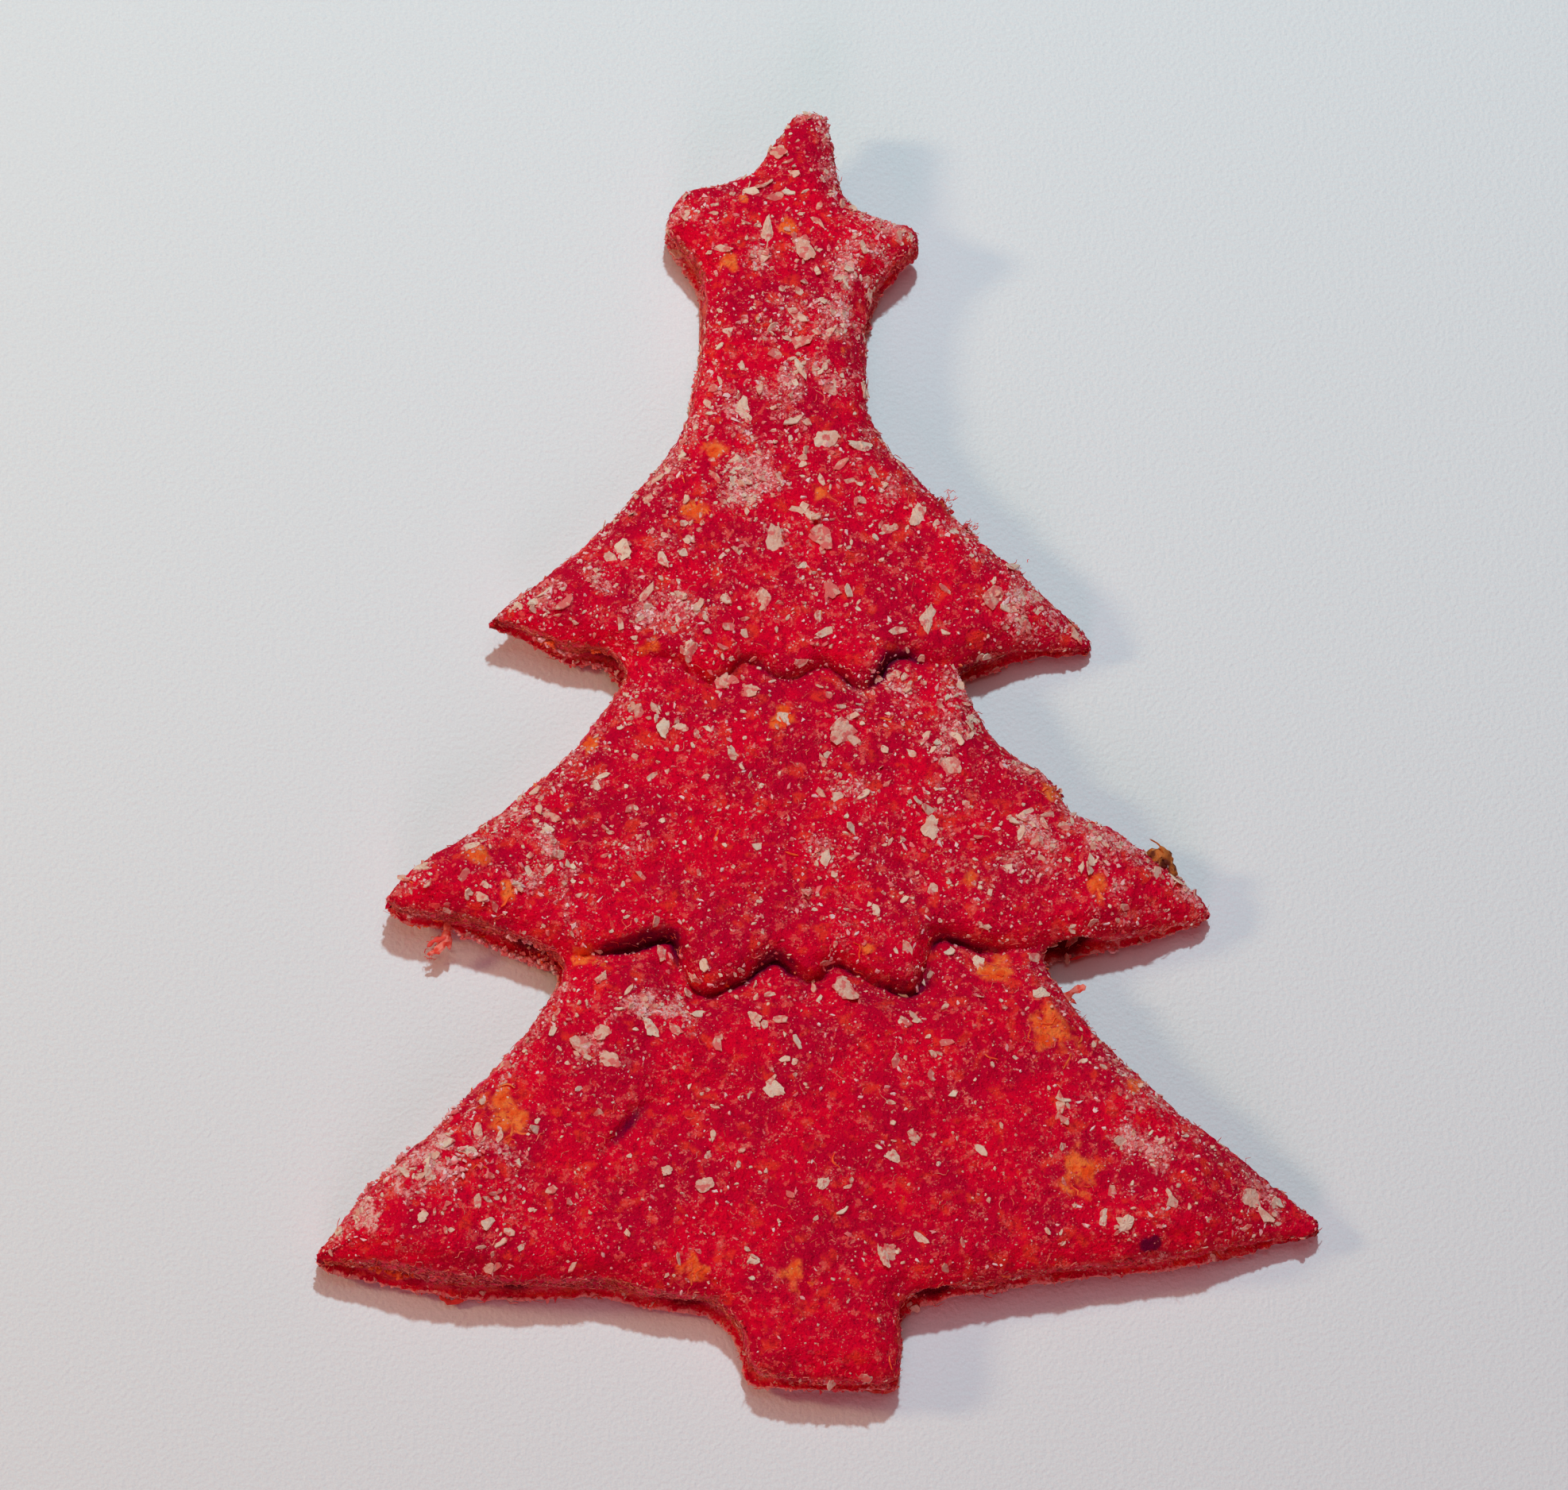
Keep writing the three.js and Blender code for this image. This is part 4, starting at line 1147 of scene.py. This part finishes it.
# %% Flour specks and clumps
place, axis = spots(SPECKS, dusty, rng)
size = 0.12 + 0.20 * rng.random(SPECKS) ** 1.7
specks = shells(place + axis * 0.01, axis, size * rng.uniform(1.0, 2.2, SPECKS), size, size * 0.45, CHIP, 5,
                0.45, 0.35, rng)
PALE_CLUMPS = [  # one end x, y, z, other end x, y, z, spread, number
    (-20.8, -14.4, 0.8, -17.0, -15.7, 1.0, 0.26, 90), (-20.9, -14.9, 1.9, -18.9, -15.4, 1.8, 0.26, 90),
    (-18.8, -15.2, 1.5, -17.2, -15.8, 1.1, 0.24, 60), (-22.7, -13.9, 1.6, -21.6, -14.5, 1.5, 0.2, 24),
    (-26.3, -11.7, 3.0, -25.6, -11.3, 3.4, 0.16, 9), (-23.4, -13.5, 0.7, -22.2, -13.9, 0.6, 0.18, 20),
    (15.5, -15.9, 1.5, 16.6, -16.6, 1.3, 0.20, 30), (20.0, -14.7, 0.8, 20.6, -14.9, 0.7, 0.18, 10),
    (3.0, 43.6, 3.9, 3.2, 44.9, 3.9, 0.22, 22), (-28.2, -11.3, 1.9, -27.2, -11.9, 1.7, 0.2, 10),
    (-16.8, 5.9, 2.0, -12.4, 5.2, 1.0, 0.2, 60), (-17.9, 6.8, 3.2, -17.3, 6.5, 3.0, 0.15, 8),
    (-28.9, -30.1, 3.4, -27.4, -28.7, 3.6, 0.22, 46), (-25.0, -27.1, 3.6, -23.8, -26.1, 3.8, 0.2, 26),
    (-30.4, -32.0, 3.0, -29.2, -30.6, 3.3, 0.2, 20), (-24.0, -31.0, 4.6, -22.6, -29.6, 4.8, 0.5, 50),
]
caked = clumps(PALE_CLUMPS, (0.16, 0.42), rng)
scatter("flour_specks", [(specks, SPECKS), caked], flour_look, rng)

# %% [markdown]
# ## Beet and carrot shreds
#
# The grated beet and carrot left fine hairs in the dough. They are thin bent tubes with closed ends,
# which lie on the skin and stick out a little from the torn wall. In a few places at the edge they
# stand out as a tuft. Where grated root came loose, small orange bodies are crowded along a line.

# %% Shred finishes
beet_look = Finish("beet_shred", Roughness=0.6, Specular_IOR_Level=0.14)
shred = beet_look.mix(beet_look.attribute("tint"), shade(220, 20, 44), shade(244, 136, 118))
shred = beet_look.lay(shred, shade(226, 66, 52), beet_look.noise(2600, 2), 0.4, 0.65)
beet_look.set(Base_Color=shred, Normal=beet_look.bumped(beet_look.noise(5200, 2), 0.00006, 0.6))

carrot_look = Finish("carrot", Roughness=0.55, Specular_IOR_Level=0.2)
shred = carrot_look.mix(carrot_look.attribute("tint"), shade(244, 78, 28), shade(252, 124, 64))
shred = carrot_look.lay(shred, shade(236, 60, 28), carrot_look.noise(1900, 3), 0.46, 0.64, 0.8)
carrot_look.set(Base_Color=shred, Normal=carrot_look.bumped(carrot_look.noise(4200, 2), 0.00008, 0.6))

# %% Bent tubes
def threads(places, axes, heading, lengths, radii, bend_share, lift_share, rng, rings=5):
    """Short hairs, all at once: three-sided tubes carried along bent paths. A path runs along its
    heading, swings sideways by a bow of its own, and rises along the axis by a share of its length;
    the tube thins to a closed point at both ends."""
    count = len(places)
    along = unit(heading)
    across = unit(np.cross(axes, along) + 1e-6)
    t = np.linspace(0, 1, rings)[None, :, None]
    bow = rng.uniform(-1, 1, (count, 1, 1)) * bend_share
    wave = rng.uniform(-1, 1, (count, 1, 1)) * bend_share * 0.5
    swing = bow * 4 * t * (1 - t) + wave * np.sin(2 * np.pi * t)
    rise = lift_share * rng.uniform(-0.2, 1, (count, 1, 1)) * t
    length = lengths[:, None, None]
    path = places[:, None] + length * ((t - 0.5) * along[:, None] + swing * across[:, None]
                                       + rise * axes[:, None])
    angles = 2 * np.pi * np.arange(3) / 3
    spoke = (np.cos(angles)[None, :, None] * across[:, None] + np.sin(angles)[None, :, None] * axes[:, None])
    thick = radii[:, None, None, None] * (0.45 + 0.55 * np.sin(np.pi * (0.15 + 0.7 * t)))[..., None]
    tube = path[:, :, None] + thick * spoke[:, None]
    ends = path[:, [0, -1]] + 0.12 * length * np.array([-1, 1])[None, :, None] * along[:, None]
    local = np.concatenate([ends, tube.reshape(count, rings * 3, 3)], axis=1)
    return local.reshape(-1, 3), ring_faces(count, rings, 3)


print("triangles of a hair:", len(ring_faces(1, 5, 3)))

# %% Hairs on the skin and out of the wall
TOP_HAIRS = 700
WALL_HAIRS = 1300
place, axis = spots(TOP_HAIRS, (0.4 + 1.0 * flour) * facing_up, rng)
heading = np.cross(axis, rng.normal(size=(TOP_HAIRS, 3)))
top_hairs = threads(place + axis * 0.01, axis, heading, rng.uniform(0.2, 0.8, TOP_HAIRS),
                    rng.uniform(0.025, 0.05, TOP_HAIRS), 0.3, 0.04, rng)
place, axis = spots(WALL_HAIRS, wall * ease(level, 0.15, 0.5), rng)
heading = np.cross(axis, rng.normal(size=(WALL_HAIRS, 3)) * [0.4, 0.4, 1.0]) + 0.15 * axis
wall_hairs = threads(place + axis * 0.05, axis, heading, rng.uniform(0.25, 0.9, WALL_HAIRS),
                     rng.uniform(0.02, 0.045, WALL_HAIRS), 0.4, 0.1, rng)
TUFTS = np.array([  # x, y, z, and the direction in which its hairs point
    (17.6, -20.3, 2.0, 1.0, 0.15, 0.1), (17.8, -20.8, 2.2, 1.0, -0.05, 0.0), (10.2, 16.7, 2.8, 0.8, 0.5, 0.2),
    (11.6, 14.5, 2.8, 0.8, 0.3, 0.1), (14.6, 11.5, 2.8, 0.7, 0.6, 0.1), (-24.1, -13.1, 1.4, 0.1, -1.0, -0.3),
    (-24.8, -14.2, 1.0, -1.0, -0.3, -0.2),
])
TUFT_HAIRS = 26
tufts = np.repeat(TUFTS, TUFT_HAIRS, axis=0)
place = tufts[:, :3] + rng.normal(size=(len(tufts), 3)) * [0.3, 0.3, 0.35]
heading = tufts[:, 3:] + 0.4 * rng.normal(size=place.shape)
tuft_hairs = threads(place + 0.15 * unit(heading), np.tile([0.0, 0.0, 1.0], (len(tufts), 1)), heading,
                     rng.uniform(0.15, 0.5, len(tufts)), rng.uniform(0.02, 0.04, len(tufts)), 0.4, 0.15, rng)
hairs = [(top_hairs, TOP_HAIRS), (wall_hairs, WALL_HAIRS), (tuft_hairs, len(tufts))]
scatter("beet_hairs", hairs, beet_look, rng)

# %% Carrot strands
CARROT_BITS = 80
carrot_density = (0.03 + 3.0 * ease(carrot_at(points), 0.1, 0.6)) * facing_up + 0.10 * wall
place, axis = spots(CARROT_BITS, carrot_density, rng)
heading = np.cross(axis, rng.normal(size=(CARROT_BITS, 3)))
strands = threads(place, axis, heading, rng.uniform(0.4, 1.1, CARROT_BITS),
                  rng.uniform(0.05, 0.11, CARROT_BITS), 0.3, 0.1, rng)
ORANGE_CLUMPS = [  # one end x, y, z, other end x, y, z, spread, number
    (-26.2, -12.3, 0.9, -25.2, -12.5, 0.8, 0.22, 22), (-18.2, -14.9, 1.3, -17.0, -15.3, 1.4, 0.15, 8),
    (-26.6, -12.4, 1.4, -26.0, -12.6, 1.3, 0.2, 12), (-25.2, -12.0, 2.3, -24.6, -12.3, 2.3, 0.15, 8),
    (-29.9, -36.4, 1.8, -26.9, -37.1, 1.8, 0.18, 26), (15.8, -16.9, 2.0, 16.4, -17.2, 1.6, 0.2, 10),
    (-17.2, 6.7, 3.0, -16.4, 6.4, 2.8, 0.16, 14), (-14.2, 6.3, 2.6, -12.8, 6.0, 2.4, 0.16, 10),
]
grated = clumps(ORANGE_CLUMPS, (0.2, 0.5), rng)
scatter("carrot_strands", [(strands, CARROT_BITS), grated], carrot_look, rng)

# %% [markdown]
# ## The crumbly edge
#
# Where the cutter tore the dough, the wall and the lip are crumbs rather than a surface. Small
# uneven bodies of the dough's own colours break up the wall, pale ragged plates of baked skin stand
# out along the lip, and the hotter, left side of the wall grew a mauve-brown fuzz of short fibres.
# The three are pieces of their own because each has its own shape and colour.

# %% Crumbs
WALL_CRUMBS = 5200
RED_CLUMPS = [  # one end x, y, z, other end x, y, z, spread, number
    (10.1, 16.8, 2.8, 10.6, 16.2, 2.8, 0.22, 34), (11.5, 14.7, 2.8, 12.1, 14.0, 2.7, 0.24, 36),
    (14.7, 11.4, 2.7, 15.1, 11.1, 2.6, 0.2, 20), (16.6, -4.2, 3.0, 17.4, -4.0, 2.8, 0.16, 12),
    (15.8, -18.6, 2.2, 17.0, -20.6, 2.2, 0.24, 30), (17.0, -20.6, 2.3, 18.8, -22.4, 2.3, 0.26, 36),
    (15.6, -17.6, 2.2, 16.2, -18.8, 2.2, 0.22, 24),
]
TINTED = [  # the tints between which a colour takes over from the one before, and that colour
    (0.0, 0.3, shade(214, 14, 50)), (0.4, 0.7, shade(244, 100, 102)), (0.78, 0.84, shade(240, 124, 84)),
    (0.92, 0.95, shade(244, 186, 160)),
]
crumb_look = Finish("torn_crumb", Roughness=0.7, Specular_IOR_Level=0.08)
bread = shade(150, 0, 36)
for start, end, colour in TINTED:
    bread = crumb_look.lay(bread, colour, crumb_look.attribute("tint"), start, end)
bread = crumb_look.lay(bread, shade(244, 108, 100), crumb_look.noise(3000, 2), 0.5, 0.65, 0.5)
crumb_look.set(Base_Color=bread, Normal=crumb_look.bumped(crumb_look.noise(5200, 3), 0.00010, 0.8))
crumbly = wall * ease(level, 0.9, 1.3) * (1 - 0.6 * hollow_shade) * (1.2 + front * (1 - baked_side))
place, axis = spots(WALL_CRUMBS, crumbly, rng)
size = 0.12 + 0.34 * rng.random(WALL_CRUMBS) ** 2
wall_crumbs = shells(place - axis * (0.25 * size)[:, None], axis, size * rng.uniform(1.0, 1.7, WALL_CRUMBS),
                     size, size * 0.9, GRAIN, 5, 0.35, 0.6, rng)

# %% Lip plates
LIP_PLATES = 1300
lip_look = Finish("pale_lip", Roughness=0.7, Specular_IOR_Level=0.08)
crust = lip_look.lay(shade(226, 52, 76), shade(252, 176, 164), lip_look.attribute("tint"), 0.1, 0.9)
crust = lip_look.lay(crust, shade(236, 96, 96), lip_look.noise(3000, 2), 0.45, 0.65, 0.6)
lip_look.set(Base_Color=crust, Normal=lip_look.bumped(lip_look.noise(5200, 2), 0.00008, 0.7))
place, axis = spots(LIP_PLATES, lip_band * ease(-np.abs(skin_normals[:, 2]), -0.9, -0.3), rng)
size = 0.12 + 0.26 * rng.random(LIP_PLATES) ** 2
lip_plates = shells(place - axis * 0.02, [[0, 0, 1]] + 0.35 * axis, size * 1.7, size, 0.3 * size, CHIP, 5,
                    0.25, 0.2, rng)
loose = clumps(RED_CLUMPS, (0.16, 0.4), rng)
scatter("torn_crumbs", [(wall_crumbs, WALL_CRUMBS), loose], crumb_look, rng)
scatter("lip_plates", [(lip_plates, LIP_PLATES)], lip_look, rng)

# %% Fuzz
WALL_FUZZ = 4200
fuzz_look = Finish("baked_fuzz", Roughness=0.75, Specular_IOR_Level=0.08)
fluff = fuzz_look.mix(fuzz_look.attribute("tint"), shade(164, 34, 60), shade(240, 134, 120))
fluff = fuzz_look.lay(fluff, shade(214, 92, 46), fuzz_look.noise(420, 3), 0.50, 0.62, 0.5)
fuzz_look.set(Base_Color=fluff, Normal=fuzz_look.bumped(fuzz_look.noise(5200, 2), 0.00005, 0.6))
place, axis = spots(WALL_FUZZ, wall * ease(level, 1.0, 1.4) * (0.05 + front) * (0.15 + baked_side), rng)
heading = np.cross(axis, rng.normal(size=(WALL_FUZZ, 3))) + 0.15 * axis
fuzz = threads(place + axis * 0.02, axis, heading, rng.uniform(0.18, 0.55, WALL_FUZZ),
               rng.uniform(0.025, 0.05, WALL_FUZZ), 0.4, 0.15, rng, rings=4)
scatter("wall_fuzz", [(fuzz, WALL_FUZZ)], fuzz_look, rng)

# %% [markdown]
# ## Shreds that hang off the edge
#
# A few shreds are large enough to know one by one: a red one that hangs off the middle tier's left,
# one that sticks out of the notch on the right, a flap of baked skin at the trunk's foot, and a
# brown curl of beet peel near the middle tier's right tip. Each is a strip along a short curve.

# %% Flat strips
STRIP_SIDES = 6


def ribbon(path, width, thickness, rng):
    """A torn strip: a smooth curve through a few named points carries a flattened six-sided ring,
    whose width swells in the middle and frays at random, closed to a point at both ends."""
    curve = smooth_curve(path, 4)
    along = unit(np.gradient(curve, axis=0))
    facing = unit(np.array([0.25, 0.2, 1.0]) - along * (along @ [0.25, 0.2, 1.0])[:, None])
    across = np.cross(facing, along)
    t = np.linspace(0, 1, len(curve))
    swell = (0.4 + 0.6 * np.sin(np.pi * (0.15 + 0.75 * t))) * (1 + 0.4 * rng.uniform(-1, 1, len(curve)))
    angle = 2 * np.pi * np.arange(STRIP_SIDES) / STRIP_SIDES
    ring = (np.cos(angle)[:, None] * across[:, None] * (width / 2 * swell)[:, None, None]
            + np.sin(angle)[:, None] * facing[:, None] * thickness / 2)
    tube = (curve[:, None] + ring).reshape(-1, 3)
    ends = np.array([curve[0] - 0.1 * along[0], curve[-1] + 0.15 * along[-1]])
    return np.vstack([ends, tube]), ring_faces(1, len(curve), STRIP_SIDES)


print("triangles between two rings of a strip:", 2 * STRIP_SIDES)

# %% Strips
STRIP_THICKNESS, PEEL_THICKNESS = 0.16, 0.14
RED_STRIPS = [  # path, width
    ([(-24.0, -12.4, 2.2), (-24.1, -13.6, 2.2), (-24.6, -14.45, 1.9), (-25.3, -14.75, 1.7)], 0.55),
    ([(-24.1, -13.5, 2.2), (-23.9, -14.4, 1.8)], 0.5),
    ([(-24.2, -13.8, 2.2), (-24.9, -13.95, 2.1), (-25.3, -14.25, 1.9)], 0.35),
    ([(15.7, -18.9, 2.2), (16.7, -18.7, 2.4), (17.4, -18.2, 2.6), (18.1, -18.0, 2.8)], 0.62),
    ([(17.0, -18.5, 2.4), (17.5, -18.9, 2.2)], 0.35),
    ([(2.4, -44.2, 0.5), (3.4, -44.7, 0.4), (4.9, -44.6, 0.5)], 0.7),
    ([(15.4, -15.0, 0.7), (17.0, -15.2, 0.5), (18.6, -14.9, 0.6)], 0.45),
    ([(1.2, -44.1, 0.7), (2.6, -44.5, 0.6), (4.0, -44.3, 0.7)], 0.4),
    ([(-24.9, -38.0, 0.5), (-24.2, -38.4, 0.4), (-23.3, -38.1, 0.5)], 0.5),
]
strips = [(ribbon(path, width, STRIP_THICKNESS, rng), 1) for path, width in RED_STRIPS]
scatter("edge_strips", strips, beet_look, rng)

# %% Peel
peel_look = Finish("beet_peel", Roughness=0.6, Specular_IOR_Level=0.15)
rind = peel_look.lay(shade(96, 34, 20), shade(196, 104, 44), peel_look.noise(900, 3), 0.40, 0.58)
rind = peel_look.lay(rind, shade(226, 150, 92), peel_look.noise(2600, 2), 0.58, 0.68, 0.6)
peel_look.set(Base_Color=rind, Normal=peel_look.bumped(peel_look.noise(3600, 3), 0.00012, 0.8))
PEEL = [  # path, width
    ([(22.6, -9.0, 3.0), (23.2, -8.8, 3.4), (23.8, -8.9, 3.5), (24.1, -9.4, 3.3), (24.5, -10.3, 2.9)], 0.75),
    ([(23.0, -9.2, 3.3), (23.4, -9.2, 3.5), (23.9, -9.7, 3.2)], 0.8),
    ([(23.7, -8.9, 3.6), (23.4, -8.4, 3.8), (22.9, -8.1, 3.9)], 0.10),
]
curls = [(ribbon(path, width, PEEL_THICKNESS, rng), 1) for path, width in PEEL]
scatter("beet_peel", curls, peel_look, rng)

# %% [markdown]
# ## Floor and light
#
# The biscuit lies on pale matt paper. Two lights cross over it. A cool, fairly small one high
# beyond the star leaves a crisp warm-brown shadow under the lower edges, because only the second
# light and the warm ceiling reach in there. That second light is warm, broad and low on the left, and
# its own shadow falls soft and bluish to the right. A faint broad one from the front lifts the torn
# walls out of the dark. Two wide lamps overhead, one cool and one warm, stand for the light that a
# ceiling gives back, and the room behind everything is a plain dark grey.

# %% Floor
FLOOR_SIZE = 1500
PAPER = 0.80  # share of the light that the paper gives back
half = FLOOR_SIZE / 2
floor = add_object("floor", [(-half, -half, 0), (half, -half, 0), (half, half, 0), (-half, half, 0)],
                   [(0, 1, 2, 3)], smooth=False)
paper_look = Finish("paper", Roughness=0.9, Specular_IOR_Level=0.1)
darker, lighter = ((PAPER * share,) * 3 + (1,) for share in (0.92, 1.08))
paper_look.set(Base_Color=paper_look.mix(paper_look.noise(7000, 2), darker, lighter),
               Normal=paper_look.bumped(paper_look.noise(3000, 4), 0.00008))
paper_look.dress(floor)
print("floor is", FLOOR_SIZE, "mm across")

# %% Lamps
LAMPS = [  # name, place and size in mm, and the light that the paper at the origin sends back
    ("cool_key", (7, 196, 385), 22, (0.272, 0.400, 0.440)),
    ("warm_side", (-430, 60, 250), 85, (0.119, 0.094, 0.056)),
    ("warm_front", (-120, -640, 290), 320, (0.072, 0.034, 0.042)),
    ("cool_ceiling", (0, 230, 870), 620, (0.048, 0.105, 0.110)),
    ("warm_ceiling", (0, -60, 900), 1400, (0.176, 0.0, 0.0)),
]
ROOM_ON_PAPER = (0.032, 0.028, 0.028)


def area_light(name, place, size, on_paper):
    """A round lamp that faces the origin from a place in mm. A lamp of power P lights paper at the
    origin with P sin(elevation) / (pi squared times distance squared), times the share that the
    paper gives back, so the power follows from how bright the paper should be."""
    towards = Vector(place).normalized()
    distance = Vector(place).length * MM
    data = bpy.data.lights.new(name, "AREA")
    data.shape = "DISK"
    data.size = size * MM
    brightest = max(on_paper)
    data.energy = brightest * (math.pi * distance) ** 2 / (PAPER * towards.z)
    data.color = [channel / brightest for channel in on_paper]
    lamp = bpy.data.objects.new(name, data)
    lamp.location = towards * distance
    lamp.rotation_mode = "QUATERNION"
    lamp.rotation_quaternion = towards.to_track_quat("Z", "Y")
    bpy.context.collection.objects.link(lamp)


for name, place, size, on_paper in LAMPS:
    area_light(name, place, size, on_paper)
world = bpy.data.worlds.new("room")
world.use_nodes = True
background = world.node_tree.nodes["Background"]
background.inputs["Color"].default_value = [channel / PAPER for channel in ROOM_ON_PAPER] + [1]
bpy.context.scene.world = world
bpy.context.scene.view_settings.view_transform = "Standard"
print("lights:", [light.name for light in bpy.data.lights])
